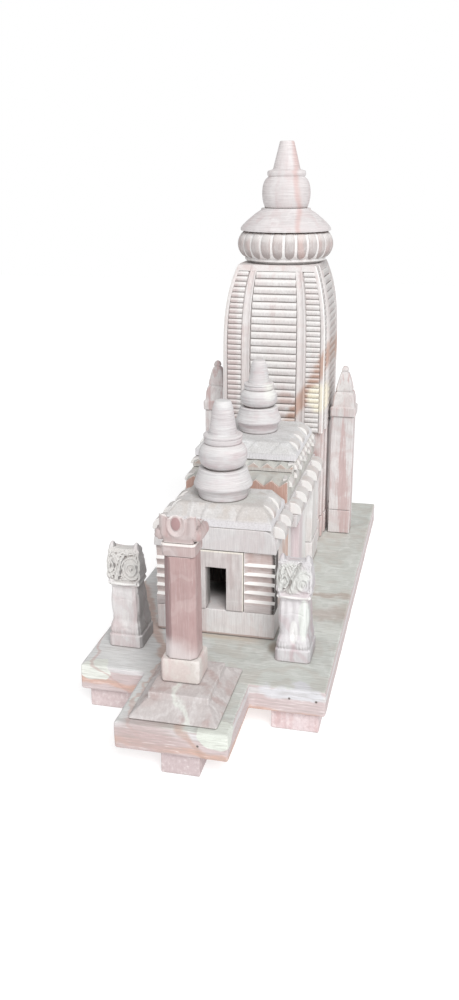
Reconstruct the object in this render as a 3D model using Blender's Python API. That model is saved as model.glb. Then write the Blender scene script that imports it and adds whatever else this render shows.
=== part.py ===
"""A tabletop temple carved in pale pink stone, in the style of the temples of Odisha.

The model stands on a flat slab with a narrow front step and five low feet. A lotus-topped pillar stands on
the step, and two seated lions guard the front. Behind them come a small hollow hall with an open doorway, a
larger hall with a stepped roof, and the tall curved tower with its ribbed cushion and pot finial. A slim
shrine stands on each side of the tower.

Metres, +Z up. The front step points to -Y. The origin is the middle of the footprint, at the feet's soles.
"""

import bmesh
import bpy
from math import cos, pi, sin, sqrt
from mathutils import Vector

# Clearance between two stones that are bedded on each other.
GAP = 0.0003

# The slab, its front step and its feet.
SLAB_WIDTH = 0.210
SLAB_LENGTH = 0.463
SLAB_THICKNESS = 0.023
STEP_X = -0.0029
STEP_WIDTH = 0.0902
STEP_LENGTH = 0.077
SLAB_EDGE = 0.0016
FOOT_HEIGHT = 0.019
FOOT_SIZE = 0.040
FOOT_INSET = 0.006
STEP_FOOT_SIZE = 0.031

SLAB_FRONT = STEP_LENGTH - (SLAB_LENGTH + STEP_LENGTH) / 2
SLAB_BACK = SLAB_FRONT + SLAB_LENGTH
SLAB_TOP = FOOT_HEIGHT + SLAB_THICKNESS

# The pillar on the step.
PILLAR_X = -0.0060
PILLAR_Y = SLAB_FRONT - 0.0215
PEDESTAL_X = -0.0030
PEDESTAL_Y = SLAB_FRONT - 0.0245
PEDESTAL_FOOT = (0.070, 0.091)
PEDESTAL_SLOPE_TOP = (0.050, 0.062)
PEDESTAL_STEP = (0.0485, 0.058)
PEDESTAL_EDGE = 0.0015
PEDESTAL_SLOPE_HEIGHT = 0.0100
PEDESTAL_HEIGHT = 0.0153
PILLAR_BASE_WIDTH = 0.0310
PILLAR_BASE_DEPTH = 0.0285
PILLAR_BASE_TOP = 0.0355
PILLAR_BASE_ROUND = 0.0012
SHAFT_WIDTH = 0.0248
SHAFT_FOOT_WIDTH = 0.0258
SHAFT_CHAMFER = 0.0042
SHAFT_TOP = 0.1220
NECKING_WIDTH = 0.0264
NECKING_CHAMFER = 0.0026
NECKING_TOP = 0.1325
CAPITAL_WIDTH = 0.0270
CAPITAL_TOP = 0.1500
CAPITAL_EDGE = 0.93
VOLUTE_RADIUS = 0.0048
VOLUTE_REACH = 0.0195
VOLUTE_HEIGHT = 0.0062

# The guardian lions. A level gives how far in it stands from the block's side, front and back, and its height.
LION_WIDTH = 0.0300
LION_DEPTH = 0.0355
LION_FOOT_HEIGHT = 0.0106
LION_LEVELS = (
    (0.0010, 0.0010, 0.0010, 0.0100),
    (0.0006, 0.0006, 0.0014, 0.0180),
    (0.0024, 0.0040, 0.0030, 0.0240),
    (0.0014, 0.0030, 0.0080, 0.0440),
    (0.0016, 0.0020, 0.0120, 0.0560),
    (-0.0004, -0.0002, 0.0125, 0.0582),
    (-0.0004, -0.0002, 0.0130, 0.0608),
    (0.0006, 0.0006, 0.0140, 0.0640),
    (0.0016, 0.0020, 0.0180, 0.0800),
    (0.0014, 0.0040, 0.0205, 0.0905),
    (0.0040, 0.0055, 0.0215, 0.0925),
)
LION_CORNER_CUT = 0.3
LION_EAR_INSET = 0.0034
LION_EAR_BACK = 0.0080
LION_EAR_LEVELS = ((0.0034, 0.0870), (0.0010, 0.0962))
LION_LEG_GAP = ((-0.0038, 0.0180), (0.0038, 0.0180), (0.0, 0.0380))
LION_GAP_DEPTH = 0.0100
LION_PLACES = {"lion_left": (-0.0770, SLAB_FRONT + 0.0560), "lion_right": (0.0700, SLAB_FRONT + 0.0610)}

# Heights above the slab that the halls share.
PLINTH_TOP = 0.0250
WALL_TOP = 0.0820
EAVE_TOP = 0.1035
EAVE_BLOCK_HEIGHT = 0.0115
EAVE_ROUND = 0.0090
PLINTH_SPREAD = 0.0008
ROOF_EDGE = 0.0050
ROOF_SLOPE = 0.0105
SLOPE_SHARE = 0.96
LEDGE_ROUND = 0.0015
BLOCK_FACE = 0.0001
BLOCK_SHARE = 0.5
EDGE_STEPS = 4

# The front hall, which is hollow behind its doorway.
HALL_X = -0.0060
HALL_WIDTH = 0.1080
HALL_FRONT = SLAB_FRONT + 0.0785
HALL_BACK = SLAB_FRONT + 0.1470
FRONT_WALL_THICKNESS = 0.0160
SIDE_WALL_THICKNESS = 0.0120
BACK_WALL_THICKNESS = 0.0110
DOOR_WIDTH = 0.0205
DOOR_HEIGHT = 0.0407
FRAME_WIDTH = 0.0520
FRAME_PROUD = 0.0012
LEDGES = 5
LEDGE_DEPTH = 0.0030
LEDGE_SLOPE = 0.0012
EAVE_BLOCK_REACH = 0.0605
EAVE_RECESS = 0.0505
EAVE_BLOCKS = 2
FRIEZE_PROUD = 0.0010
FRIEZE_FRONT = 0.0040
HALL_ROOF_X = -0.0030
HALL_ROOF_WIDTH = 0.0920
HALL_ROOF_TOP = 0.1215

# The middle hall with its stepped roof.
MID_X = -0.0030
MID_WALL_WIDTH = 0.1030
MID_BAY_DEPTH = 0.0065
MID_BAYS = 2
MID_BACK = SLAB_FRONT + 0.3190
MID_CENTRE = (HALL_BACK + MID_BACK) / 2
MID_FRIEZE_HALF = 0.0585
MID_BLOCK_REACH = 0.0615
MID_EAVE_BLOCKS = 5
MID_ROOF_Y = SLAB_FRONT + 0.2415
TIER_TOPS = (0.1252, 0.1330)
TIER_HALVES = (0.0485, 0.0505)
TIER_RANGES = ((SLAB_FRONT + 0.1512, MID_BACK - GAP), (SLAB_FRONT + 0.1785, SLAB_FRONT + 0.3045))
TIER_BLOCKS = (6, 8)
TIER_REACHES = (0.0520, 0.0525)
TIER_ROUNDS = (0.0070, 0.0055)
MID_ROOF_WIDTH = 0.0970
MID_ROOF_LENGTH = 0.1050
MID_ROOF_BLOCKS = 3
MID_ROOF_TOP = 0.1480

# The turned finials of the two halls: radius, and share of the stone's height.
FINIAL_BELL = ((0.0262, 0), (0.0262, 0.07), (0.0236, 0.11), (0.0240, 0.35), (0.0262, 0.55), (0.0262, 0.63),
               (0.0236, 0.83), (0.0205, 1))
FINIAL_POT = ((0.0172, 0), (0.0195, 0.016), (0.0210, 0.105), (0.0216, 0.21), (0.0206, 0.31), (0.0178, 0.363),
              (0.0178, 0.384), (0.0184, 0.396), (0.0184, 0.482), (0.0165, 0.515), (0.0140, 0.556),
              (0.0068, 0.980), (0.0062, 1))
FRONT_FINIAL_SIZE = (1.0, 0.0262, 0.0595)
MID_FINIAL_SIZE = (0.86, 0.0245, 0.0455)
MID_FINIAL_X = 0.0

# The tower.
TOWER_X = 0.0015
TOWER_Y = SLAB_FRONT + 0.3745
TOWER_WIDTH = 0.1012
TOWER_BAYS = ((0.74, 0.0018), (0.44, 0.0017))
TOWER_WALL_TOP = 0.1260
SPIRE_X = -0.0005
SPIRE_WIDTH = 0.1144
SPIRE_TOP_WIDTH = 0.0874
SPIRE_SWELL_TOP = 0.1830
SPIRE_SWELL = 3.8
SPIRE_PLAIN_TOP = 0.0060
SPIRE_TOP = 0.3010
SPIRE_BANDS = 22
BAND_DEPTH = 0.0011
CENTRE_PANEL = 0.0502
FILLET_WIDTH = 0.0092
FILLET_STEP = 0.0010
CORNER_STEP = 0.0022
CORNER_CUT = 0.0026
NECK_RADIUS = 0.0370
NECK_TOP = 0.3035
CUSHION_RADIUS = 0.0515
CUSHION_TOP = 0.3335
CUSHION_RIBS = 24
CUSHION_LIP_RADIUS = 0.0430
CUSHION_LIP_TOP = 0.3070
GROOVE_DEPTH = 0.0026
TOWER_BELL = ((0.0430, 0.3338), (0.0483, 0.3341), (0.0483, 0.3371), (0.0440, 0.3415), (0.0360, 0.3485),
              (0.0290, 0.3540), (0.0270, 0.3545), (0.0262, 0.3566))
TOWER_POT = ((0.0225, 0.3569), (0.0236, 0.3600), (0.0252, 0.3660), (0.0257, 0.3720), (0.0252, 0.3790),
             (0.0230, 0.3845), (0.0192, 0.3880), (0.0200, 0.3890), (0.0204, 0.3905), (0.0204, 0.3925),
             (0.0196, 0.3944), (0.0145, 0.3955), (0.0139, 0.3975), (0.0077, 0.4225), (0.0068, 0.4234))

# The side shrines.
SHRINE_X = 0.0722
SHRINE_Y = SLAB_FRONT + 0.3645
SHRINE_WIDTH = 0.0245
SHRINE_BASE_TOP = 0.0280
SHRINE_SHAFT_TOP = 0.1375
SHRINE_SPIRE = ((0.0016, 0.0), (0.0016, 0.0100), (-0.0002, 0.0108), (-0.0010, 0.0200), (-0.0028, 0.0265),
                (-0.0042, 0.0270), (-0.0034, 0.0282), (-0.0045, 0.0345), (-0.0062, 0.0420), (-0.0076, 0.0465),
                (-0.0095, 0.0480), (-0.0085, 0.0495), (-0.0095, 0.0530), (-0.0102, 0.0542))


def clear_scene():
    """Empty the scene of whatever it held."""
    for obj in list(bpy.data.objects):
        bpy.data.objects.remove(obj, do_unlink=True)


def stone(name, colour, roughness=0.72):
    """One dull stone finish."""
    material = bpy.data.materials.new(name)
    material.use_nodes = True
    shader = material.node_tree.nodes["Principled BSDF"]
    shader.inputs["Base Color"].default_value = (*colour, 1.0)
    shader.inputs["Roughness"].default_value = roughness
    shader.inputs["Metallic"].default_value = 0.0
    material.diffuse_color = (*colour, 1.0)
    return material


def place_mesh(name, bm, place, material, smooth=False):
    """Turn a bmesh into an object that stands at a place, above the slab when the place says so."""
    bmesh.ops.recalc_face_normals(bm, faces=bm.faces)
    mesh = bpy.data.meshes.new(name)
    bm.to_mesh(mesh)
    bm.free()
    mesh.materials.append(material)
    if smooth:
        mesh.shade_smooth()
        mesh.set_sharp_from_angle(angle=0.7)
    obj = bpy.data.objects.new(name, mesh)
    bpy.context.scene.collection.objects.link(obj)
    obj.location = Vector(place)
    obj.parent = bpy.data.objects["temple"]
    return obj


def loft(name, rings, place, material, smooth=False):
    """A closed solid through rings of points that run the same way round, capped at both ends."""
    bm = bmesh.new()
    rows = [[bm.verts.new(point) for point in ring] for ring in rings]
    count = len(rows[0])
    for low, high in zip(rows, rows[1:]):
        for i in range(count):
            j = (i + 1) % count
            bm.faces.new((low[i], low[j], high[j], high[i]))
    bm.faces.new(list(reversed(rows[0])))
    bm.faces.new(rows[-1])
    return place_mesh(name, bm, place, material, smooth)


def turned(name, profile, place, material, sides=32):
    """A lathe-turned stone; the profile lists (radius, height) from the bottom up."""
    angles = [2 * pi * i / sides for i in range(sides)]
    rings = [[(radius * cos(a), radius * sin(a), height) for a in angles] for radius, height in profile]
    return loft(name, rings, place, material, smooth=True)


def prism(name, outline, height, place, material, soft_top=0.0, soft_all=0.0):
    """An outline drawn upwards, with its upper edges rounded or all its edges eased."""
    bm = bmesh.new()
    low = [bm.verts.new((x, y, 0.0)) for x, y in outline]
    high = [bm.verts.new((x, y, height)) for x, y in outline]
    count = len(outline)
    for i in range(count):
        j = (i + 1) % count
        bm.faces.new((low[i], low[j], high[j], high[i]))
    bm.faces.new(list(reversed(low)))
    bm.faces.new(high)
    if soft_top:
        top = [e for e in bm.edges if all(v.co.z > height / 2 for v in e.verts)]
        bmesh.ops.bevel(bm, geom=top, offset=soft_top, segments=3, profile=0.5, affect="EDGES")
    if soft_all:
        bmesh.ops.bevel(bm, geom=list(bm.edges), offset=soft_all, segments=1, affect="EDGES")
    return place_mesh(name, bm, place, material)


def rectangle(width, length):
    """The four corners of a rectangle about its middle."""
    half = width / 2
    deep = length / 2
    return [(-half, -deep), (half, -deep), (half, deep), (-half, deep)]


def block(name, x_range, y_range, z_range, material):
    """A squared stone between two limits on each axis; the heights are above the slab."""
    width = x_range[1] - x_range[0]
    length = y_range[1] - y_range[0]
    place = (sum(x_range) / 2, sum(y_range) / 2, SLAB_TOP + z_range[0])
    return prism(name, rectangle(width, length), z_range[1] - z_range[0], place, material)


def notched_sides(width, length, block_depth, blocks):
    """A rectangle whose two long sides carry a row of square blocks standing out from it."""
    pitch = length / blocks
    right = [(width / 2, -length / 2)]
    for i in range(blocks):
        middle = -length / 2 + pitch * (i + 0.5)
        near = middle - pitch * BLOCK_SHARE / 2
        far = middle + pitch * BLOCK_SHARE / 2
        reach = width / 2 + block_depth
        right += [(width / 2, near), (reach, near), (reach, far), (width / 2, far)]
    right.append((width / 2, length / 2))
    return right + [(-x, y) for x, y in reversed(right)]


def bayed(width, bay_steps):
    """A square whose four sides step out to a bay at the middle; steps are (share of the side, depth)."""
    half = width / 2
    side = [(-half, -half)]
    out = half
    for share, depth in bay_steps:
        side += [(-half * share, -out), (-half * share, -out - depth)]
        out += depth
    side += [(-u, v) for u, v in reversed(side[1:])]
    ring = []
    for across, along in ((1, 0), (0, 1), (-1, 0), (0, -1)):
        ring += [(u * across - v * along, u * along + v * across) for u, v in side]
    return ring


def rounded_section(half, ledge, reach, top, round_off):
    """A course's cross-section: a wall up to a ledge, and above it an upper edge rounded to a quarter."""
    right = [(half, 0.0), (half, ledge)]
    for i in range(EDGE_STEPS + 1):
        turn = pi / 2 * i / EDGE_STEPS
        right.append((reach - round_off * (1 - cos(turn)), top - round_off * (1 - sin(turn))))
    return right + [(-x, z) for x, z in reversed(right)]


def sloping_section(half, ledge, top, drop, inset):
    """A course's cross-section: a wall up to a height, and above it a straight slope in to a flat top."""
    right = [(half, 0.0), (half, ledge)]
    for i in range(EDGE_STEPS + 1):
        share = i / EDGE_STEPS
        right.append((half - 0.0002 - inset * share, top - drop * (1 - share)))
    return right + [(-x, z) for x, z in reversed(right)]


def course(name, place, length, sections, blocks, material, ends=()):
    """A roof course drawn along Y, whose side blocks stand out between plain stretches."""
    plain, blocked = sections
    pitch = length / blocks
    stations = [(y, section) for y, section in ends if y < 0] or [(-length / 2, plain)]
    for i in range(blocks):
        middle = -length / 2 + pitch * (i + 0.5)
        near = middle - pitch * BLOCK_SHARE / 2
        far = middle + pitch * BLOCK_SHARE / 2
        stations += [(near, plain), (near + BLOCK_FACE, blocked), (far - BLOCK_FACE, blocked), (far, plain)]
    stations += [(y, section) for y, section in ends if y > 0] or [(length / 2, plain)]
    rings = [[(x, y, z) for x, z in section] for y, section in stations]
    return loft(name, rings, place, material)


def join_parts(body, parts):
    """Make one solid of a body and the parts that run into it."""
    for part in parts:
        part.hide_render = True
        part.display_type = "WIRE"
        union = body.modifiers.new("join " + part.name, "BOOLEAN")
        union.operation = "UNION"
        union.solver = "EXACT"
        union.object = part


def cut_away(body, cutter):
    """Take the cutter's shape out of a body."""
    cutter.hide_render = True
    cutter.display_type = "WIRE"
    cut = body.modifiers.new("cut " + cutter.name, "BOOLEAN")
    cut.operation = "DIFFERENCE"
    cut.solver = "EXACT"
    cut.object = cutter


def build_base(finish):
    """The T-shaped slab on its five feet."""
    half = SLAB_WIDTH / 2
    step = STEP_WIDTH / 2
    outline = [(STEP_X - step, SLAB_FRONT - STEP_LENGTH), (STEP_X + step, SLAB_FRONT - STEP_LENGTH),
               (STEP_X + step, SLAB_FRONT), (half, SLAB_FRONT), (half, SLAB_BACK),
               (-half, SLAB_BACK), (-half, SLAB_FRONT), (STEP_X - step, SLAB_FRONT)]
    prism("base_slab", outline, SLAB_THICKNESS, (0, 0, FOOT_HEIGHT), finish, soft_all=SLAB_EDGE)
    reach = half - FOOT_INSET - FOOT_SIZE / 2
    front = SLAB_FRONT + FOOT_INSET + FOOT_SIZE / 2
    back = SLAB_BACK - FOOT_INSET - FOOT_SIZE / 2
    for end, y in (("front", front), ("back", back)):
        for side, x in (("left", -reach), ("right", reach)):
            prism(f"foot_{end}_{side}", rectangle(FOOT_SIZE, FOOT_SIZE), FOOT_HEIGHT - GAP, (x, y, 0), finish)
    y = SLAB_FRONT - STEP_LENGTH + 0.004 + STEP_FOOT_SIZE / 2
    prism("foot_step", rectangle(STEP_FOOT_SIZE, STEP_FOOT_SIZE), FOOT_HEIGHT - GAP, (0.0035, y, 0), finish)


def build_pillar(finish):
    """The pillar: a sloping pedestal, a square base, a chamfered shaft and a lotus capital with curls."""
    def level(size, height):
        return [(x, y, height) for x, y in rectangle(*size)]
    slope = PEDESTAL_SLOPE_HEIGHT
    rings = [level(PEDESTAL_FOOT, 0), level(PEDESTAL_FOOT, PEDESTAL_EDGE), level(PEDESTAL_SLOPE_TOP, slope),
             level(PEDESTAL_STEP, slope + 0.0002), level(PEDESTAL_STEP, PEDESTAL_HEIGHT - GAP)]
    loft("pillar_pedestal", rings, (PEDESTAL_X, PEDESTAL_Y, SLAB_TOP + GAP), finish)
    base = rectangle(PILLAR_BASE_WIDTH, PILLAR_BASE_DEPTH)
    prism("pillar_base", base, PILLAR_BASE_TOP - PEDESTAL_HEIGHT - GAP,
          (PILLAR_X, PILLAR_Y, SLAB_TOP + PEDESTAL_HEIGHT + GAP), finish, soft_top=PILLAR_BASE_ROUND)

    def chamfered(width, cut, height):
        half = width / 2
        near = half - cut
        return [(-near, -half, height), (near, -half, height), (half, -near, height), (half, near, height),
                (near, half, height), (-near, half, height), (-half, near, height), (-half, -near, height)]
    height = SHAFT_TOP - PILLAR_BASE_TOP
    full = NECKING_TOP - PILLAR_BASE_TOP - GAP
    rings = [chamfered(SHAFT_FOOT_WIDTH, SHAFT_CHAMFER, 0), chamfered(SHAFT_WIDTH, SHAFT_CHAMFER, height),
             chamfered(NECKING_WIDTH, NECKING_CHAMFER, height + 0.0002),
             chamfered(NECKING_WIDTH, NECKING_CHAMFER, full)]
    loft("pillar_shaft", rings, (PILLAR_X, PILLAR_Y, SLAB_TOP + PILLAR_BASE_TOP + GAP), finish)

    top = CAPITAL_TOP - NECKING_TOP - GAP
    half = CAPITAL_WIDTH / 2
    turns = [(2 * i - 5) * pi / 14 for i in range(7)]
    centre = VOLUTE_REACH - VOLUTE_RADIUS
    right = [(half - 0.0012, 0.0)]
    right += [(centre + VOLUTE_RADIUS * cos(a), VOLUTE_HEIGHT + VOLUTE_RADIUS * sin(a)) for a in turns]
    right += [(half, VOLUTE_HEIGHT + VOLUTE_RADIUS + 0.0006), (half + 0.0006, top - 0.0040),
              (half - 0.0010, top), (half * 0.5, top - 0.0008), (half * 0.2, top - 0.0022)]
    outline = right + [(-x, z) for x, z in reversed(right)]
    rings = []
    for share, y in ((CAPITAL_EDGE, -half), (1, -half + 0.0012), (1, half - 0.0012), (CAPITAL_EDGE, half)):
        rings.append([(x * share, y, top / 2 + (z - top / 2) * share) for x, z in outline])
    loft("pillar_capital", rings, (PILLAR_X, PILLAR_Y, SLAB_TOP + NECKING_TOP + GAP), finish)


def build_lion(name, finish):
    """A seated lion carved as a block: a banded foot, two front legs, a collar, and a square head with ears."""
    x, y = LION_PLACES[name]
    floor = SLAB_TOP + GAP

    half = LION_WIDTH / 2
    deep = LION_DEPTH / 2

    def ring(side_in, front_in, back_in, height):
        side = half - side_in
        front = -deep + front_in
        back = deep - back_in
        cut = side * LION_CORNER_CUT
        return [(-side + cut, front, height), (side - cut, front, height), (side, front + cut, height),
                (side, back - cut, height), (side - cut, back, height), (-side + cut, back, height),
                (-side, back - cut, height), (-side, front + cut, height)]
    lion = loft(name, [ring(*level) for level in LION_LEVELS], (x, y, floor), finish)
    foot_outline = rectangle(LION_WIDTH + 0.0010, LION_DEPTH)
    foot = prism(name + "_foot", foot_outline, LION_FOOT_HEIGHT, (x, y, floor), finish)
    ears = []
    for side in (-1, 1):
        middle = side * (half - LION_EAR_INSET)
        rings = []
        for reach, height in LION_EAR_LEVELS:
            square = rectangle(reach * sqrt(2), reach * sqrt(2))
            rings.append([(middle + u, -deep + LION_EAR_BACK + v, height) for u, v in square])
        ears.append(loft(f"{name}_ear_{side}", rings, (x, y, floor), finish))
    join_parts(lion, [foot] + ears)
    rings = []
    for reach in (-LION_GAP_DEPTH, LION_GAP_DEPTH):
        rings.append([(u, -deep + reach, height) for u, height in LION_LEG_GAP])
    cut_away(lion, loft(name + "_leg_gap", rings, (x, y, floor), finish))


def ledged_wall(name, x_range, finish):
    """A length of the hall's front wall, with level ledges standing out between recessed courses."""
    top = WALL_TOP - PLINTH_TOP - GAP
    pitch = top / (LEDGES + 0.5)
    profile = [(FRONT_WALL_THICKNESS, 0.0), (0.0, 0.0)]
    for i in range(LEDGES):
        base = pitch * (i + 0.5)
        profile += [(0.0, base), (LEDGE_DEPTH, base + LEDGE_SLOPE), (LEDGE_SLOPE, base + pitch * 0.96)]
    profile += [(LEDGE_SLOPE, top), (FRONT_WALL_THICKNESS, top)]
    rings = [[(x, HALL_FRONT + depth, height) for depth, height in profile] for x in x_range]
    return loft(name, rings, (0, 0, SLAB_TOP + PLINTH_TOP + GAP), finish)


def build_front_hall(finish):
    """The hollow front hall: plinth, walls, door frame, eaves with side blocks, and a sloped roof slab."""
    west = HALL_X - HALL_WIDTH / 2
    east = HALL_X + HALL_WIDTH / 2
    block("hall_plinth", (west, east), (HALL_FRONT, HALL_BACK - GAP), (GAP, PLINTH_TOP), finish)

    frame_west = HALL_X - FRAME_WIDTH / 2
    frame_east = HALL_X + FRAME_WIDTH / 2
    ledged_wall("front_wall_left", (west, frame_west - GAP), finish)
    ledged_wall("front_wall_right", (frame_east + GAP, east), finish)
    frame_y = (HALL_FRONT - FRAME_PROUD, HALL_FRONT + FRONT_WALL_THICKNESS)
    door_top = PLINTH_TOP + DOOR_HEIGHT
    jamb_z = (PLINTH_TOP + GAP, door_top)
    block("door_jamb_left", (frame_west, HALL_X - DOOR_WIDTH / 2), frame_y, jamb_z, finish)
    block("door_jamb_right", (HALL_X + DOOR_WIDTH / 2, frame_east), frame_y, jamb_z, finish)
    block("door_lintel", (frame_west, frame_east), frame_y, (door_top + GAP, WALL_TOP), finish)

    wall_z = (PLINTH_TOP + GAP, WALL_TOP)
    wall_y = (HALL_FRONT + FRONT_WALL_THICKNESS + GAP, HALL_BACK - GAP)
    block("hall_wall_left", (west, west + SIDE_WALL_THICKNESS), wall_y, wall_z, finish)
    block("hall_wall_right", (east - SIDE_WALL_THICKNESS, east), wall_y, wall_z, finish)
    inner = (west + SIDE_WALL_THICKNESS + GAP, east - SIDE_WALL_THICKNESS - GAP)
    block("hall_wall_back", inner, (HALL_BACK - BACK_WALL_THICKNESS, HALL_BACK - GAP), wall_z, finish)

    middle = (HALL_FRONT + HALL_BACK) / 2 - GAP / 2
    span = HALL_BACK - HALL_FRONT - GAP
    height = EAVE_TOP - WALL_TOP - GAP
    frieze = HALL_WIDTH / 2 + FRIEZE_PROUD
    ledge = height - EAVE_BLOCK_HEIGHT
    plain = rounded_section(frieze, ledge, EAVE_RECESS, height, LEDGE_ROUND)
    blocked = rounded_section(frieze, ledge, EAVE_BLOCK_REACH, height, EAVE_ROUND)
    front = rounded_section(frieze, ledge, frieze + 0.0005, height, LEDGE_ROUND)
    step = -span / 2 + FRIEZE_FRONT
    ends = ((-span / 2 - FRIEZE_PROUD, front), (step, front), (step + BLOCK_FACE, plain), (span / 2, plain))
    place = (HALL_X, middle, SLAB_TOP + WALL_TOP + GAP)
    course("hall_eave", place, span, (plain, blocked), EAVE_BLOCKS, finish, ends)
    build_roof_slab("hall_roof", (HALL_ROOF_X, middle), (HALL_ROOF_WIDTH, span), (EAVE_TOP, HALL_ROOF_TOP),
                    EAVE_BLOCKS, finish)


def build_roof_slab(name, middle, size, heights, blocks, finish):
    """A roof slab: an upright edge, sloping ends, and rounded blocks along its sloping sides."""
    half = size[0] / 2
    length = size[1]
    height = heights[1] - heights[0] - GAP
    slope = height - ROOF_EDGE
    inset = ROOF_SLOPE * SLOPE_SHARE
    low = sloping_section(half, ROOF_EDGE * 0.9, ROOF_EDGE, ROOF_EDGE * 0.05, inset)
    plain = sloping_section(half, ROOF_EDGE, height, slope, inset)
    blocked = rounded_section(half, ROOF_EDGE, half + 0.0010, height - 0.0002, slope - 0.0006)
    row = length - 2 * ROOF_SLOPE
    ends = ((-length / 2, low), (-row / 2, plain), (row / 2, plain), (length / 2, low))
    course(name, (*middle, SLAB_TOP + heights[0] + GAP), row, (plain, blocked), blocks, finish, ends)


def build_middle_hall(finish):
    """The middle hall: a bayed body, eaves with side blocks, two roof tiers and a sloped roof slab."""
    length = MID_BACK - HALL_BACK - 2 * GAP
    for name, bottom, top, spread in (("middle_plinth", 0, PLINTH_TOP, PLINTH_SPREAD),
                                      ("middle_walls", PLINTH_TOP, WALL_TOP, 0)):
        outline = notched_sides(MID_WALL_WIDTH + 2 * spread, length, MID_BAY_DEPTH, MID_BAYS)
        prism(name, outline, top - bottom - GAP, (MID_X, MID_CENTRE, SLAB_TOP + bottom + GAP), finish)
    height = EAVE_TOP - WALL_TOP - GAP
    ledge = height - EAVE_BLOCK_HEIGHT
    plain = rounded_section(MID_FRIEZE_HALF, ledge, EAVE_RECESS, height, LEDGE_ROUND)
    blocked = rounded_section(MID_FRIEZE_HALF, ledge, MID_BLOCK_REACH, height, EAVE_ROUND)
    place = (MID_X, MID_CENTRE, SLAB_TOP + WALL_TOP + GAP)
    course("middle_eave", place, length, (plain, blocked), MID_EAVE_BLOCKS, finish)
    bottom = EAVE_TOP
    for i, top in enumerate(TIER_TOPS):
        near, far = TIER_RANGES[i]
        height = top - bottom - GAP
        ledge = height - TIER_ROUNDS[i] - 0.0005
        plain = rounded_section(TIER_HALVES[i], ledge, TIER_HALVES[i] - 0.0010, height, LEDGE_ROUND)
        blocked = rounded_section(TIER_HALVES[i], ledge, TIER_REACHES[i], height, TIER_ROUNDS[i])
        place = (MID_X, (near + far) / 2, SLAB_TOP + bottom + GAP)
        course(f"middle_tier_{i + 1}", place, far - near, (plain, blocked), TIER_BLOCKS[i], finish)
        bottom = top
    build_roof_slab("middle_roof", (MID_X, MID_ROOF_Y), (MID_ROOF_WIDTH, MID_ROOF_LENGTH),
                    (bottom, MID_ROOF_TOP), MID_ROOF_BLOCKS, finish)


def build_finial(name, size, place, finish):
    """A turned bell on a disc, and above it a pot with a collar and a tapering stopper."""
    girth, bell_height, pot_height = size
    bell = [(radius * girth, share * bell_height) for radius, share in FINIAL_BELL]
    pot = [(radius * girth, share * pot_height) for radius, share in FINIAL_POT]
    turned(name + "_bell", bell, place, finish)
    turned(name + "_pot", pot, (place[0], place[1], place[2] + bell_height + GAP), finish)


def spire_width(height):
    """The spire's full width at a height above the slab: upright below, curving in towards its top."""
    over = max(0.0, (height - SPIRE_SWELL_TOP) / (SPIRE_TOP - SPIRE_SWELL_TOP))
    return SPIRE_WIDTH - (SPIRE_WIDTH - SPIRE_TOP_WIDTH) * over ** SPIRE_SWELL


def spire_ring(height, cut):
    """The spire's outline at one height: a centre panel, a fillet each side of it, and corner panels with a cut edge."""
    width = spire_width(height)
    narrow = width / SPIRE_WIDTH
    half = width / 2
    panel = CENTRE_PANEL / 2 * narrow
    fillet = panel + FILLET_WIDTH * narrow
    corner = half - CORNER_STEP - cut
    plain = -half + FILLET_STEP
    face = -half + cut
    side = [(-corner, CORNER_CUT - corner), (CORNER_CUT - corner, -corner), (-fillet, -corner), (-fillet, plain),
            (-panel, plain), (-panel, face), (panel, face), (panel, plain), (fillet, plain), (fillet, -corner)]
    ring = []
    for turn in ((1, 0), (0, 1), (-1, 0), (0, -1)):
        ring += [(u * turn[0] - v * turn[1], u * turn[1] + v * turn[0], height) for u, v in side]
    return ring


def build_spire(finish):
    """The curved spire, cut all round in level bands below a plain top course."""
    start = TOWER_WALL_TOP + GAP
    plain = SPIRE_TOP - SPIRE_PLAIN_TOP
    pitch = (plain - start) / SPIRE_BANDS
    rings = []
    for i in range(SPIRE_BANDS):
        rings.append(spire_ring(start + pitch * i, BAND_DEPTH))
        rings.append(spire_ring(start + pitch * (i + 0.45), 0.0))
    rings.append(spire_ring(plain, BAND_DEPTH))
    rings.append(spire_ring(plain + 0.0010, 0.0))
    rings.append(spire_ring(SPIRE_TOP - 0.0015, 0.0))
    rings.append([(x * 0.95, y * 0.95, z) for x, y, z in spire_ring(SPIRE_TOP, 0.0)])
    loft("tower_spire", rings, (SPIRE_X, TOWER_Y, SLAB_TOP), finish)


def build_cushion(finish):
    """The ribbed round stone on its neck: a plain lip below and a ring of upright ribs above it."""
    sides = CUSHION_RIBS * 4
    lip = CUSHION_LIP_RADIUS
    rise = CUSHION_TOP - CUSHION_LIP_TOP
    outline = [(NECK_RADIUS, SPIRE_TOP + GAP, 0), (NECK_RADIUS, NECK_TOP, 0), (lip, NECK_TOP + 0.0005, 0),
               (lip, CUSHION_LIP_TOP, 0), (lip + 0.0010, CUSHION_LIP_TOP + 0.0010, 0.5)]
    for share in (0.15, 0.32, 0.5, 0.68, 0.85):
        bulge = lip + (CUSHION_RADIUS - lip) * sin(pi * share) ** 0.6
        outline.append((bulge, CUSHION_LIP_TOP + rise * share, 1))
    outline += [(lip + 0.0020, CUSHION_TOP - 0.0008, 0.4), (lip, CUSHION_TOP, 0)]
    rings = []
    for radius, height, relief in outline:
        ring = []
        for i in range(sides):
            angle = 2 * pi * i / sides
            groove = (1 - abs(cos(CUSHION_RIBS / 2 * angle))) * GROOVE_DEPTH * relief
            ring.append(((radius - groove) * cos(angle), (radius - groove) * sin(angle), height))
        rings.append(ring)
    loft("tower_cushion", rings, (TOWER_X, TOWER_Y, SLAB_TOP), finish, smooth=True)


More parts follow.
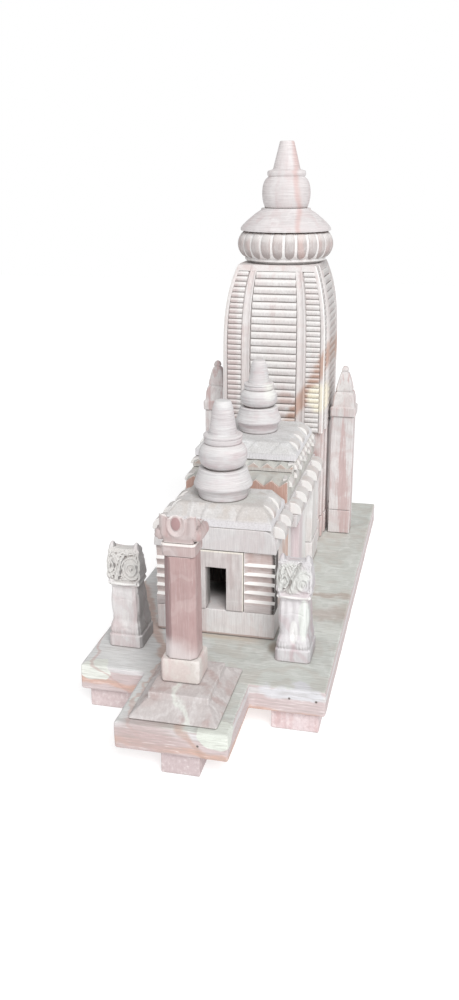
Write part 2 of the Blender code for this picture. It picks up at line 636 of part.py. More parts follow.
def build_tower(finish):
    """The tower: plinth, bayed walls, the banded spire, the ribbed cushion, a bell and the pot finial."""
    for name, bottom, top, spread in (("tower_plinth", 0, PLINTH_TOP, PLINTH_SPREAD),
                                      ("tower_walls", PLINTH_TOP, TOWER_WALL_TOP, 0)):
        outline = bayed(TOWER_WIDTH + 2 * spread, TOWER_BAYS)
        prism(name, outline, top - bottom - GAP, (TOWER_X, TOWER_Y, SLAB_TOP + bottom + GAP), finish)
    build_spire(finish)
    build_cushion(finish)
    turned("tower_bell", TOWER_BELL, (TOWER_X, TOWER_Y, SLAB_TOP), finish, sides=48)
    turned("tower_pot", TOWER_POT, (TOWER_X, TOWER_Y, SLAB_TOP), finish, sides=40)


def build_shrine(side_name, x, finish):
    """A slim shrine beside the tower: a base block, a plain shaft, and a cap that curves in to a spire."""
    width = SHRINE_WIDTH
    outline = rectangle(width, width)
    base_height = SHRINE_BASE_TOP - GAP
    shaft_height = SHRINE_SHAFT_TOP - SHRINE_BASE_TOP - GAP
    shaft_floor = SLAB_TOP + SHRINE_BASE_TOP + GAP
    prism(f"shrine_base_{side_name}", outline, base_height, (x, SHRINE_Y, SLAB_TOP + GAP), finish)
    prism(f"shrine_shaft_{side_name}", outline, shaft_height, (x, SHRINE_Y, shaft_floor), finish)
    rings = []
    for spread, height in SHRINE_SPIRE:
        rings.append([(u, v, height) for u, v in rectangle(width + 2 * spread, width + 2 * spread)])
    loft(f"shrine_spire_{side_name}", rings, (x, SHRINE_Y, SLAB_TOP + SHRINE_SHAFT_TOP + GAP), finish)


def build_temple():
    """Build every stone of the model."""
    clear_scene()
    root = bpy.data.objects.new("temple", None)
    bpy.context.scene.collection.objects.link(root)
    pale = stone("pale_stone", (0.80, 0.74, 0.73))
    pink = stone("pink_stone", (0.74, 0.58, 0.57))
    slab = stone("slab_stone", (0.68, 0.68, 0.64))
    build_base(slab)
    build_pillar(pink)
    for name in LION_PLACES:
        build_lion(name, pale)
    build_front_hall(pale)
    hall_middle = (HALL_FRONT + HALL_BACK) / 2
    hall_roof = SLAB_TOP + HALL_ROOF_TOP + GAP
    build_finial("front_finial", FRONT_FINIAL_SIZE, (HALL_X, hall_middle, hall_roof), pale)
    build_middle_hall(pale)
    mid_roof = SLAB_TOP + MID_ROOF_TOP + GAP
    build_finial("middle_finial", MID_FINIAL_SIZE, (MID_FINIAL_X, MID_ROOF_Y, mid_roof), pale)
    build_tower(pale)
    build_shrine("left", -SHRINE_X, pale)
    build_shrine("right", SHRINE_X, pale)


build_temple()
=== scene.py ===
# The looks of a tabletop temple carved in pale pink stone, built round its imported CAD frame.
from math import cos, exp, hypot, pi, radians, sin

import bmesh
import bpy
from mathutils import Euler, Matrix, Vector, noise


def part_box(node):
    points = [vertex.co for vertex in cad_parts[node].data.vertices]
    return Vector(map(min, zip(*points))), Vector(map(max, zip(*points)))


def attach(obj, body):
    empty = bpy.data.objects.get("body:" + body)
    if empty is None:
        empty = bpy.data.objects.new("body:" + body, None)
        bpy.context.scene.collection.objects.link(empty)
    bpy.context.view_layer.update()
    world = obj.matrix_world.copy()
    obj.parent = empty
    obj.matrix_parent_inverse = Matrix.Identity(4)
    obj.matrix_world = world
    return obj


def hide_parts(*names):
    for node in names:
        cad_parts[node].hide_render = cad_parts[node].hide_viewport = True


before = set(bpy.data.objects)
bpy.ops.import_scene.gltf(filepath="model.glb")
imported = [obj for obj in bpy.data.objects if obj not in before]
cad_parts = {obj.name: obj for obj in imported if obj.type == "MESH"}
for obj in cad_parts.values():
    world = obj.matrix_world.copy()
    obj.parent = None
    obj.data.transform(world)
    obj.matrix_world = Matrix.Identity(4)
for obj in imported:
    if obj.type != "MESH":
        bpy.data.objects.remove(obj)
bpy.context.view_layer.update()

# The table, the light and the camera. The model stands on a white studio table. One broad soft light stands
# to the front right and above, and white walls fill in the rest. The camera looks down from the front right.
scene = bpy.context.scene
scene.view_settings.view_transform = "Standard"
PURE_WHITE = (1.0, 1.0, 1.0, 1)
TABLE_HALF = 3.0
TABLE_GREY = 0.52
TABLE_GLOW = 0.60
table_mesh = bpy.data.meshes.new("table")
table_corners = [(x * TABLE_HALF, y * TABLE_HALF, 0) for x, y in ((-1, -1), (1, -1), (1, 1), (-1, 1))]
table_mesh.from_pydata(table_corners, [], [(0, 1, 2, 3)])
table = bpy.data.objects.new("table", table_mesh)
scene.collection.objects.link(table)
table_paint = bpy.data.materials.new("table_paint")
table_paint.use_nodes = True
table_shader = table_paint.node_tree.nodes["Principled BSDF"]
table_shader.inputs["Base Color"].default_value = (TABLE_GREY, TABLE_GREY, TABLE_GREY, 1)
table_shader.inputs["Roughness"].default_value = 0.9
table_shader.inputs["Emission Color"].default_value = PURE_WHITE
table_shader.inputs["Emission Strength"].default_value = TABLE_GLOW
table_mesh.materials.append(table_paint)

ROOM_LIGHT = 0.46
ROOM_AS_SEEN = 1.0
world = bpy.data.worlds.new("studio")
world.use_nodes = True
walls = world.node_tree
white_room = walls.nodes["Background"]
white_room.inputs["Color"].default_value = PURE_WHITE
seen_or_not = walls.nodes.new("ShaderNodeLightPath")
room_light = walls.nodes.new("ShaderNodeMapRange")
room_light.inputs["To Min"].default_value = ROOM_LIGHT
room_light.inputs["To Max"].default_value = ROOM_AS_SEEN
walls.links.new(seen_or_not.outputs["Is Camera Ray"], room_light.inputs["Value"])
walls.links.new(room_light.outputs["Result"], white_room.inputs["Strength"])
scene.world = world

KEY_HEADING = radians(28)
KEY_HEIGHT = radians(42)
KEY_SOFTNESS = radians(34)
KEY_STRENGTH = 2.5
lamp = bpy.data.lights.new("key_light", "SUN")
lamp.angle = KEY_SOFTNESS
lamp.energy = KEY_STRENGTH
lamp_holder = bpy.data.objects.new("key_light", lamp)
lamp_holder.rotation_euler = (pi / 2 - KEY_HEIGHT, 0, KEY_HEADING)
scene.collection.objects.link(lamp_holder)

CAMERA_PLACE = (0.17934, -0.85133, 0.43823)
CAMERA_TURN = radians(13.1158)
CAMERA_DIP = radians(19.4147)
CAMERA_ROLL = radians(0.1805)
lens = bpy.data.cameras.new("camera")
lens.sensor_width = 36
lens.sensor_fit = "AUTO"
lens.lens = 33.85
lens.clip_start = 0.01
camera = bpy.data.objects.new("camera", lens)
scene.collection.objects.link(camera)
aim = Euler((pi / 2 - CAMERA_DIP, 0, CAMERA_TURN)).to_matrix() @ Matrix.Rotation(-CAMERA_ROLL, 3, "Z")
camera.matrix_world = Matrix.LocRotScale(Vector(CAMERA_PLACE), aim.to_quaternion(), None)
scene.camera = camera


# The slab and its feet. One flat T-shaped piece of greenish-grey stone with pink edges carries everything. It
# is sawn, rubbed flat and eased at its edges by hand, and it stands on five low blocks glued under it.
class Wire:
    """A value on its way between nodes, so that a shader's sums read as plain arithmetic."""

    def __init__(self, tree, socket):
        self.tree = tree
        self.socket = socket

    @classmethod
    def node(cls, tree, kind, inputs=None, out=0, **settings):
        """Adds a node of any kind: its settings come first, then the values or links of its sockets."""
        node = tree.nodes.new(kind)
        for key, value in settings.items():
            setattr(node, key, value)
        for key, value in (inputs or {}).items():
            if isinstance(value, cls):
                tree.links.new(value.socket, node.inputs[key])
            else:
                node.inputs[key].default_value = value
        return cls(tree, node.outputs[out])

    def output(self, name):
        """Another output of the node that this value leaves."""
        return Wire(self.tree, self.socket.node.outputs[name])

    def math(self, operation, *values):
        return Wire.node(self.tree, "ShaderNodeMath", dict(enumerate(values)), operation=operation)

    def __add__(self, other):
        return self.math("ADD", self, other)

    def __radd__(self, other):
        return self.math("ADD", other, self)

    def __sub__(self, other):
        return self.math("SUBTRACT", self, other)

    def __rsub__(self, other):
        return self.math("SUBTRACT", other, self)

    def __mul__(self, other):
        return self.math("MULTIPLY", self, other)

    def __rmul__(self, other):
        return self.math("MULTIPLY", other, self)

    def __truediv__(self, other):
        return self.math("DIVIDE", self, other)

    def __pow__(self, other):
        return self.math("POWER", self, other)

    def __abs__(self):
        return self.math("ABSOLUTE", self)

    def within(self, low, high):
        """0 at low and 1 at high, with a soft start and end."""
        return Wire.node(self.tree, "ShaderNodeMapRange", {0: self, 1: low, 2: high},
                         interpolation_type="SMOOTHSTEP")


def tint(share, first, second):
    """The first colour where the share is 0, the second where it is 1."""
    first = first if isinstance(first, Wire) else (*first, 1)
    second = second if isinstance(second, Wire) else (*second, 1)
    return Wire.node(share.tree, "ShaderNodeMix", {0: share, 6: first, 7: second}, out=2, data_type="RGBA")


def patch(centre, radius, colour, stretch=(1, 1, 1), core=0.7, wobble=8, share=1):
    """A mark about a centre, in millimetres. stretch squeezes it, core is its part in full colour, wobble is
    how far its edge wanders, and share is how much it covers."""
    return {"centre": centre, "radius": radius, "colour": colour, "stretch": stretch, "core": core,
            "wobble": wobble, "share": share}


def band(across, at, radius, colour, core=0.7, wobble=8, share=1):
    """A mark that runs through the stone as a layer, at a distance from the origin along a direction."""
    return {"across": across, "at": at, "radius": radius, "colour": colour, "core": core, "wobble": wobble,
            "share": share}


MM = 0.001
ROSE = (0.520, 0.330, 0.310)
BROWN = (0.300, 0.190, 0.150)
WHITE = (0.900, 0.890, 0.870)
DUST_AND_SHADE = (0.200, 0.160, 0.145)
ALONG_UP = (1.5, 1.5, 0.05)


def stone(name, base, streak, grain=ALONG_UP, streak_scale=(0.09, 0.09, 0.012), streak_share=(0.50, 0.68),
          seed=0, marks=(), swirl=0.3, ripples=34, grit=0.30, speckle=0.15, lit=0, front=0, shade=0, dust_and_shade=0.8,
          edge=0.75, bump=0.2):
    """One finish of the stone: base colour, swirls and streaks, marks, chisel grain, dust and painted shade
    in hollows, and rubbed edges with a painted highlight. Lengths inside are millimetres. lit paints a
    highlight on what looks up, front paints a highlight on what looks out of the temple's front, and shade
    paints shade on what looks to its right."""
    material = bpy.data.materials.new(name)
    material.use_nodes = True
    tree = material.node_tree
    shader = tree.nodes["Principled BSDF"]
    place = Wire.node(tree, "ShaderNodeTexCoord", out="Object")
    per_mm = (1 / MM, 1 / MM, 1 / MM)
    point = Wire.node(tree, "ShaderNodeVectorMath", {0: place, 1: per_mm}, operation="MULTIPLY")

    def cloud(scale, detail=3, shift=0, rough_share=0.55):
        scale = scale if isinstance(scale, tuple) else (scale, scale, scale)
        moved = Wire.node(tree, "ShaderNodeMapping",
                          {"Vector": point, "Location": (shift + seed, shift, -shift), "Scale": scale})
        return Wire.node(tree, "ShaderNodeTexNoise", {"Vector": moved, "Scale": 1, "Detail": detail,
                                                      "Roughness": rough_share})

    broad = cloud(0.016, 2, 3)
    middle = cloud(0.11, 4, 11)
    lines = cloud(grain, 2, 5, 0.7)
    bands = cloud(streak_scale, 3, 23)
    fine = cloud(0.95, 2, 31, 0.7)
    drift = cloud(0.045, 2, 61)

    colour = tint((broad + (middle - 0.5) * 0.6).within(0.40, 0.66), base, [c * 0.92 for c in base])
    ripple = broad.math("SINE", broad * ripples + drift * 8 + middle * 2)
    colour = tint(ripple.within(0.1, 1) * swirl, colour, streak)
    colour = tint((0 - ripple).within(0.75, 1) * swirl, colour, [0.30 + c * 0.68 for c in base])
    colour = tint((bands + (middle - 0.5) * 0.22).within(*streak_share), colour, streak)
    for mark in marks:
        wobble = (drift * 0.7 + middle * 0.3 - 0.5) * mark["wobble"]
        if "centre" in mark:
            away = Wire.node(tree, "ShaderNodeVectorMath", {0: point, 1: mark["centre"]},
                             operation="SUBTRACT")
            reach = Wire.node(tree, "ShaderNodeVectorMath", {0: away, 1: mark["stretch"]},
                              operation="MULTIPLY")
            reach = Wire.node(tree, "ShaderNodeVectorMath", {0: reach}, operation="LENGTH", out=1) + wobble
        else:
            along = Wire.node(tree, "ShaderNodeVectorMath", {0: point, 1: mark["across"]},
                              operation="DOT_PRODUCT", out=1)
            reach = abs(along - mark["at"] + wobble)
        mask = (1 - reach.within(mark["radius"] * mark["core"], mark["radius"])) * mark["share"]
        colour = tint(mask, colour, mark["colour"])
    colour = tint((1 - lines).within(0.44, 0.72) * grit, colour, [c * 0.62 for c in streak])
    colour = tint(lines.within(0.54, 0.75) * grit, colour, WHITE)
    colour = tint((1 - fine).within(0.48, 0.76) * speckle, colour, [c * 0.60 for c in streak])
    # Painted light: lit paints a highlight on what faces up, front one on what faces the front, and shade
    # paints shade on what faces right.
    if lit or front or shade:
        facing = Wire.node(tree, "ShaderNodeNewGeometry", out="Normal")
        facing = Wire.node(tree, "ShaderNodeSeparateXYZ", {0: facing})
        colour = tint(facing.output("Z").within(0.12, 0.55) * lit, colour, WHITE)
        colour = tint((0 - facing.output("Y")).within(0.35, 0.80) * front, colour, WHITE)
        colour = tint(facing.output("X").within(0.35, 0.85) * shade, colour, [c * 0.30 for c in base])
    specks = cloud(0.33, 3, 47).within(0.70, 0.76) * fine.within(0.45, 0.6)
    colour = tint(specks * 0.55, colour, BROWN)
    # Dust and painted shade: occlusion of hollows, creases and joints between stones darkens the colour
    # there.
    hollow = Wire.node(tree, "ShaderNodeAmbientOcclusion", {"Distance": 3.2 * MM}, out="AO", samples=6)
    colour = tint((1 - hollow).within(0.30, 0.85) * dust_and_shade, colour, DUST_AND_SHADE)
    # Rubbed edges and painted highlight: convex edges are whitened, partly as wear and partly as light
    # catching them.
    edge_wear_and_highlight = Wire.node(tree, "ShaderNodeAmbientOcclusion", {"Distance": 1.1 * MM}, out="AO", samples=4,
                      only_local=True, inside=True)
    colour = tint((1 - edge_wear_and_highlight + (middle - 0.5) * 0.3).within(0.22, 0.50) * edge, colour, WHITE)
    tree.links.new(colour.socket, shader.inputs["Base Color"])
    roughness = (middle - 0.5) * 0.25 + 0.66
    tree.links.new(roughness.socket, shader.inputs["Roughness"])
    height = lines * 0.6 + fine * (0.1 + speckle) + middle * 0.25
    relief = Wire.node(tree, "ShaderNodeBump", {"Height": height, "Strength": bump, "Distance": 0.5 * MM})
    tree.links.new(relief.socket, shader.inputs["Normal"])
    return material


def as_piece(name, points, faces, material):
    """A closed mesh as an object at the origin, with its faces turned outwards."""
    shape = bmesh.new()
    corners = [shape.verts.new(point) for point in points]
    for face in faces:
        shape.faces.new([corners[i] for i in face])
    shape.normal_update()
    caps = [face for face in shape.faces if len(face.verts) > 4]
    bmesh.ops.triangulate(shape, faces=caps, ngon_method="EAR_CLIP")
    bmesh.ops.recalc_face_normals(shape, faces=shape.faces)
    mesh = bpy.data.meshes.new(name)
    shape.to_mesh(mesh)
    shape.free()
    mesh.materials.append(material)
    mesh.shade_smooth()
    piece = bpy.data.objects.new(name, mesh)
    scene.collection.objects.link(piece)
    return piece


def lofted(name, rings, material):
    """A closed stone through rings of equal numbers of points."""
    count = len(rings[0])
    points = [tuple(point) for ring in rings for point in ring]
    faces = [tuple(reversed(range(count)))]
    for row in range(len(rings) - 1):
        for i in range(count):
            j = (i + 1) % count
            low = row * count
            faces.append((low + i, low + j, low + count + j, low + count + i))
    last = (len(rings) - 1) * count
    faces.append(tuple(range(last, last + count)))
    return as_piece(name, points, faces, material)


def eased_outline(corners, radius, step, inset=0):
    """An outline with its outward corners rounded and its sides cut in short lengths, moved in by inset."""
    spots = [Vector(corner) for corner in corners]
    count = len(spots)
    arcs = []
    for i, here in enumerate(spots):
        before, after = spots[i - 1], spots[(i + 1) % count]
        arriving, leaving = (here - before).normalized(), (after - here).normalized()
        inward = Vector((-arriving.y - leaving.y, arriving.x + leaving.x))
        moved = here + inward * inset / (1 + arriving.dot(leaving))
        room = 0.4 * min((here - before).length, (after - here).length)
        turn = min(max(radius - inset, 0.05 * MM), room)
        if arriving.x * leaving.y - arriving.y * leaving.x > 0.05:
            arcs.append([moved - arriving * turn * (1 - k) ** 2 + leaving * turn * k ** 2
                         for k in (0, 0.25, 0.5, 0.75, 1)])
        else:
            arcs.append([moved])
    outline = []
    for i, arc in enumerate(arcs):
        start, end = arc[-1], arcs[(i + 1) % count][0]
        pieces = max(1, round((spots[(i + 1) % count] - spots[i]).length / step))
        outline += arc + [start.lerp(end, k / pieces) for k in range(1, pieces)]
    return outline


WAVER_SEED = 1
WAVER_SCALE = 90
noise.seed_set(WAVER_SEED)


def wavering(point, amount, seed=0):
    """A point moved a little, as a hand-cut face wanders."""
    place = Vector(point) * WAVER_SCALE + Vector((seed, seed, seed))
    return Vector(point) + noise.noise_vector(place) * amount


def even_shading(piece):
    """Shades a stone's flat sides flat, and only its eased edges round."""
    piece.modifiers.new("even shading", "WEIGHTED_NORMAL")
    return piece


def hewn(name, corners, low, high, material, edge=0.9 * MM, step=5 * MM, waver=0.16 * MM, seed=0,
         upright=True):
    """A squared stone cut by hand. Its outline is drawn upwards, or, where upright is False, from the back to
    the front of an outline in X and Z."""
    height = high - low
    cuts = max(1, round((height - 2 * edge) / step))
    levels = [(0, edge), (edge * 0.3, edge * 0.3)]
    levels += [(edge + (height - 2 * edge) * i / cuts, 0) for i in range(cuts + 1)]
    levels += [(height - edge * 0.3, edge * 0.3), (height, edge)]
    rings = []
    for rise, inset in levels:
        ring = []
        for point in eased_outline(corners, edge * 1.3, step, inset + waver):
            level = low + rise
            spot = Vector((point.x, point.y, level)) if upright else Vector((point.x, -level, point.y))
            moved = wavering(spot, waver, seed)
            if upright:
                moved.z = spot.z
            else:
                moved.y = spot.y
            ring.append(moved)
        rings.append(ring)
    return even_shading(lofted(name, rings, material))


def fit(piece, slot, *nodes):
    """Fixes a finished stone in the frame: it rides on the one body and stands for its CAD nodes."""
    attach(piece, "root")
    if nodes:
        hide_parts(*nodes)
    return piece


def oblong(left, right, front, back):
    """The corners of a rectangle seen from above."""
    return [(left, front), (right, front), (right, back), (left, back)]


def bed(node, finish, slot="pale_stone", corners=None, **cut):
    """Cuts one squared stone to the box of its CAD node, or to an outline of its own, and fixes it."""
    low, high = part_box(node)
    corners = corners or oblong(low.x, high.x, low.y, high.y)
    return fit(hewn(node + "_stone", corners, low.z, high.z, finish, **cut), slot, node)


slab_low, slab_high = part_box("base_slab")
SLAB_TOP = slab_high.z
STEP_LENGTH = 77 * MM
SLAB_FRONT = slab_low.y + STEP_LENGTH
STEP_LEFT = -48.0 * MM
STEP_RIGHT = 42.2 * MM
slab_corners = [(STEP_LEFT, slab_low.y), (STEP_RIGHT, slab_low.y), (STEP_RIGHT, SLAB_FRONT),
                (slab_high.x, SLAB_FRONT), (slab_high.x, slab_high.y), (slab_low.x, slab_high.y),
                (slab_low.x, SLAB_FRONT), (STEP_LEFT, SLAB_FRONT)]
slab_stone = stone(
    "slab_stone", (0.58, 0.6, 0.565), (0.52, 0.49, 0.445), grain=(0.06, 1.3, 0.8), seed=1,
    streak_scale=(0.02, 0.011, 0.03), streak_share=(0.52, 0.7), swirl=0.42, ripples=26, grit=0.42, dust_and_shade=0.5,
    edge=1, bump=0.15, marks=(
        band((0.1, 0.99, 0), -42, 22, (0.42, 0.33, 0.29), core=0, wobble=60, share=0.55),
        band((-0.06, 0.99, 0), -15, 7, (0.36, 0.25, 0.2), core=0.1, wobble=36, share=0.55),
        band((0.05, 0.99, 0), -86, 16, (0.7, 0.73, 0.69), core=0, wobble=40, share=0.6),
        # Painted shadow: a dark brown patch on the slab top just left of the right lion's foot.
        patch((50, -126, 42), 7, (0.26, 0.19, 0.13), stretch=(0.9, 0.5, 0.5), core=0.2, wobble=6,
              share=0.7),
        patch((-6, -118, 42), 6, (0.52, 0.4, 0.29), stretch=(0.12, 0.9, 0.5), core=0.1, wobble=5,
              share=0.6),
        patch((-80, -172, 42), 16, (0.7, 0.72, 0.67), stretch=(0.6, 1, 0.5), core=0.3, wobble=16,
              share=0.7),
        band((0, 0, 1), 27.5, 14, (0.57, 0.475, 0.475), core=0.95, wobble=3),
        band((0.06, 0.02, 1), 18.5, 4.5, (0.6, 0.38, 0.3), core=0.3, wobble=12, share=0.8),
        band((0.03, 0, 1), 38.5, 3.4, (0.68, 0.68, 0.69), core=0.5, wobble=5, share=0.75),
        band((0.8, 0.35, 0.6), -64.3, 5.5, (0.5, 0.33, 0.27), core=0.2, wobble=22, share=0.7),
        band((0.7, 0, 0.72), 2, 1.8, (0.56, 0.4, 0.36), core=0.2, wobble=22, share=0.6),
        patch((33, -270, 40), 11, (0.7, 0.73, 0.67), stretch=(0.62, 0.5, 0.9), core=0.9, wobble=10),
        patch((-92, -193, 38), 8, (0.72, 0.74, 0.69), stretch=(0.55, 0.4, 1), core=0.9, wobble=14),
        band((0.52, 0.1, 0.85), -32, 1.6, ROSE, core=0.2, wobble=14, share=0.5),
        patch((76, -193, 37), 7, (0.65, 0.65, 0.68), stretch=(0.25, 0.4, 1), core=0.7, wobble=14),
        patch((-20, -270, 31), 20, (0.48, 0.365, 0.355), stretch=(0.55, 0.5, 1), core=0.4, wobble=12,
              share=0.8),
        patch((75, -193, 33), 1.5, (0.1, 0.08, 0.07), core=0.5, wobble=0.6),
        patch((97, -193, 32.5), 1.4, (0.1, 0.08, 0.07), core=0.5, wobble=0.6),
        patch((18.5, -270, 30), 1.4, (0.1, 0.08, 0.07), core=0.5, wobble=0.6)))
slab = hewn("slab", slab_corners, slab_low.z, slab_high.z, slab_stone, edge=1.8 * MM, step=6 * MM,
            waver=0.3 * MM)
fit(slab, "slab_stone", "base_slab")

foot_stone = stone(
    "foot_stone", (0.69, 0.59, 0.6), (0.6, 0.45, 0.45), grain=(0.4, 0.4, 0.3), seed=9, speckle=0.1, marks=(
        patch((3, -266, 9), 40, (0.54, 0.45, 0.455)),
        patch((-79, -187, 9), 40, (0.59, 0.495, 0.495))))
for foot in ("foot_front_left", "foot_front_right", "foot_back_left", "foot_back_right", "foot_step"):
    bed(foot, foot_stone, "slab_stone")


# The pillar on the front step. A square shaft with cut corners stands on a low block and a sloping pedestal.
# All of it is dusty pink stone rubbed smooth, and its stones are bedded on each other. The capital carries an
# egg in a cup between two petals, and a curl on each side.
def around(width, depth, cut=0.8 * MM, step=3 * MM):
    """A rectangle about its middle with its corners cut off, in short lengths."""
    half, deep = width / 2, depth / 2
    corners = [(-half + cut, -deep), (half - cut, -deep), (half, -deep + cut), (half, deep - cut),
               (half - cut, deep), (-half + cut, deep), (-half, deep - cut), (-half, -deep + cut)]
    return eased_outline(corners, cut * 0.3, step)


def stacked(name, centre, outline, levels, material, foot=0, waver=0.13 * MM):
    """A stone through levels of one outline. A level has its share of the outline's width, then of its depth
    where that differs, and its height above the foot in millimetres."""
    levels = [level if len(level) == 3 else (level[0], *level) for level in levels]
    first, last = levels[0], levels[-1]
    levels = [(first[0] * 0.9, first[1] * 0.9, first[2]), *levels, (last[0] * 0.9, last[1] * 0.9, last[2])]
    rings = []
    for wide, deep, rise in levels:
        height = foot + rise * MM
        ring = [wavering((centre[0] + p.x * wide, centre[1] + p.y * deep, height), waver) for p in outline]
        for spot in ring:
            spot.z = height
        rings.append(ring)
    return even_shading(lofted(name, rings, material))


def bump_at(distance, width):
    """1 at no distance, falling away over a width."""
    return exp(-(distance / width) ** 2)


def between(value, low, high, soft):
    """1 inside a range and 0 outside, with soft ends."""
    return 1 / (1 + exp(-(value - low) / soft * 4)) / (1 + exp((value - high) / soft * 4))


DUSTY_PINK = (0.450, 0.315, 0.305)
PINK_STREAK = (0.390, 0.245, 0.238)
pillar_stone = stone(
    "pillar_stone", DUSTY_PINK, PINK_STREAK, seed=2, streak_share=(0.5, 0.72), swirl=0.2, grit=0.16,
    speckle=0.05, edge=0.7, dust_and_shade=0.6, bump=0.1, marks=(
        band((0.82, 0.25, 0.55), -71, 1.4, (0.7, 0.6, 0.58), wobble=22, share=0.6),
        # Painted shade: the pillar's front left chamfer, turned away from the light, is darkened.
        band((0.707, 0.707, 0), -172.2, 3.4, (0.24, 0.155, 0.155), core=0.75, wobble=1.5, share=0.85),
        patch((-15, -226, 73), 18, (0.66, 0.61, 0.605), stretch=(0.6, 0.4, 0.66), core=0.5, wobble=12,
              share=0.8)))
pedestal_stone = stone(
    "pedestal_stone", (0.57, 0.525, 0.515), (0.48, 0.39, 0.375), seed=5, grain=(0.5, 0.3, 0.2), swirl=0.45,
    ripples=22, grit=0.2, speckle=0.06, dust_and_shade=0.4, edge=1, bump=0.1, marks=(
        band((0.85, 0.1, 0.5), 0.5, 3.2, (0.72, 0.75, 0.7), core=0.2, wobble=26, share=0.7),))
cream_stone = stone("cream_stone", (0.69, 0.64, 0.605), (0.62, 0.51, 0.49), seed=8, grain=(0.5, 0.5, 0.5),
                    swirl=0.5, grit=0.12, speckle=0.05, edge=0.8, bump=0.08)
capital_stone = stone(
    "capital_stone", (0.5, 0.415, 0.405), (0.45, 0.315, 0.305), seed=6, grit=0.1, speckle=0.05, edge=0.5,
    dust_and_shade=1, bump=0.08, marks=(
        patch((-6.8, -229, 190.2), 9.8, (0.66, 0.58, 0.57), stretch=(1.32, 0.3, 0.95), core=0.8, wobble=1.5,
              share=0.6),
        patch((-6.8, -229, 190.8), 5.8, (0.38, 0.24, 0.24), stretch=(1.5, 0.3, 1), core=0.8, wobble=1),
        band((0, 0, 1), 174, 1.5, (0.84, 0.79, 0.76), core=0.6, wobble=0.5, share=0.9)))

PILLAR = (-6 * MM, SLAB_FRONT - 21.5 * MM)
PEDESTAL = (-3 * MM, SLAB_FRONT - 24.5 * MM)
PEDESTAL_LEVELS = [(1, 42.3), (1, 43), (0.995, 0.996, 43.7)]
PEDESTAL_LEVELS += [(0.985 - 0.27 * i / 6, 0.99 - 0.305 * i / 6, 43.9 + 8.3 * i / 6) for i in range(7)]
PEDESTAL_LEVELS += [(0.694, 0.64, 52.3), (0.692, 0.637, 54), (0.69, 0.636, 56.4), (0.68, 0.628, 57.1),
                    (0.66, 0.61, 57.3)]
pedestal = stacked("pedestal", PEDESTAL, around(70 * MM, 91 * MM, 1.2 * MM), PEDESTAL_LEVELS, pedestal_stone)
fit(pedestal, "pink_stone", "pillar_pedestal")

base_low, base_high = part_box("pillar_base")
BASE_RISE = (base_high.z - base_low.z) / MM
BASE_LEVELS = [(0.97, 0), (0.995, 0.03), (1, 0.08), (1, 0.3), (1, 0.6), (1, 0.86), (0.99, 0.94),
               (0.965, 0.985), (0.94, 1)]
pillar_base = stacked("pillar_foot_block", PILLAR, around(31 * MM, 28.5 * MM, 1.6 * MM),
                      [(share, rise * BASE_RISE) for share, rise in BASE_LEVELS], cream_stone, base_low.z)
fit(pillar_base, "pink_stone", "pillar_base")

SHAFT_RISE = 81.8
SHAFT_LEVELS = [(1.03, 0), (1.045, 0.6), (1.04, 3)]
SHAFT_LEVELS += [(1.035 - 0.035 * i / 16, 4 + SHAFT_RISE * i / 16) for i in range(17)]
shaft = stacked("pillar_shaft_stone", PILLAR, around(24.6 * MM, 24.6 * MM, 4.2 * MM, 2 * MM), SHAFT_LEVELS,
                pillar_stone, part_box("pillar_shaft")[0].z, waver=0.2 * MM)
fit(shaft, "pink_stone", "pillar_shaft")
NECKING_LEVELS = [(0.96, 164.2), (0.985, 164.5), (0.99, 166), (0.99, 169), (0.985, 171.2), (0.97, 171.6),
                  (0.995, 172), (1.01, 172.7), (1.01, 173.6), (0.99, 174.3), (0.97, 174.5)]
necking = stacked("pillar_necking", PILLAR, around(26.4 * MM, 26.4 * MM, 2 * MM, 2 * MM), NECKING_LEVELS,
                  capital_stone)
fit(necking, "pink_stone", "pillar_shaft")

CAPITAL_LOW = 174.8 * MM
CAPITAL_HALF = 13.4 * MM
CAPITAL_RISE = 21.8
CAPITAL_FALL = 12.5
CAPITAL_ROWS = 40


def capital_relief(u, rise):
    """How far a capital's face stands out, in millimetres, at a place across it and a height on it."""
    egg = hypot((u + 0.8) / 4.1, (rise - 16.0) / 5.9)
    out = 2.2 * max(0.0, 1 - egg ** 2) ** 0.5 if egg < 1 else -0.6 * bump_at(egg - 1.08, 0.10)
    cup = hypot((u + 0.8) / 6.9, (rise - 15.4) / 9.6)
    out += 1.5 * bump_at(cup - 1.0, 0.15) * between(rise, -2, 21.2, 1.5)
    petal = between(abs(u) - 0.10 * rise, 7.0, 40, 1.6) * between(rise, 4.8, 40, 1.8)
    out += 1.6 * petal * (0.5 + 0.5 * bump_at(abs(u) - 11.8, 2.6))
    return out - 0.5 * between(rise, 0.6, 3.0, 0.8)


def capital_wave(u):
    """How far the capital's upper edge rises and dips across a face, in millimetres."""
    return 1.0 * bump_at(u + 0.8, 3.6) + 1.7 * bump_at(abs(u) - 10.6, 2.8) - 2.0 * bump_at(abs(u) - 6.8, 1.7)


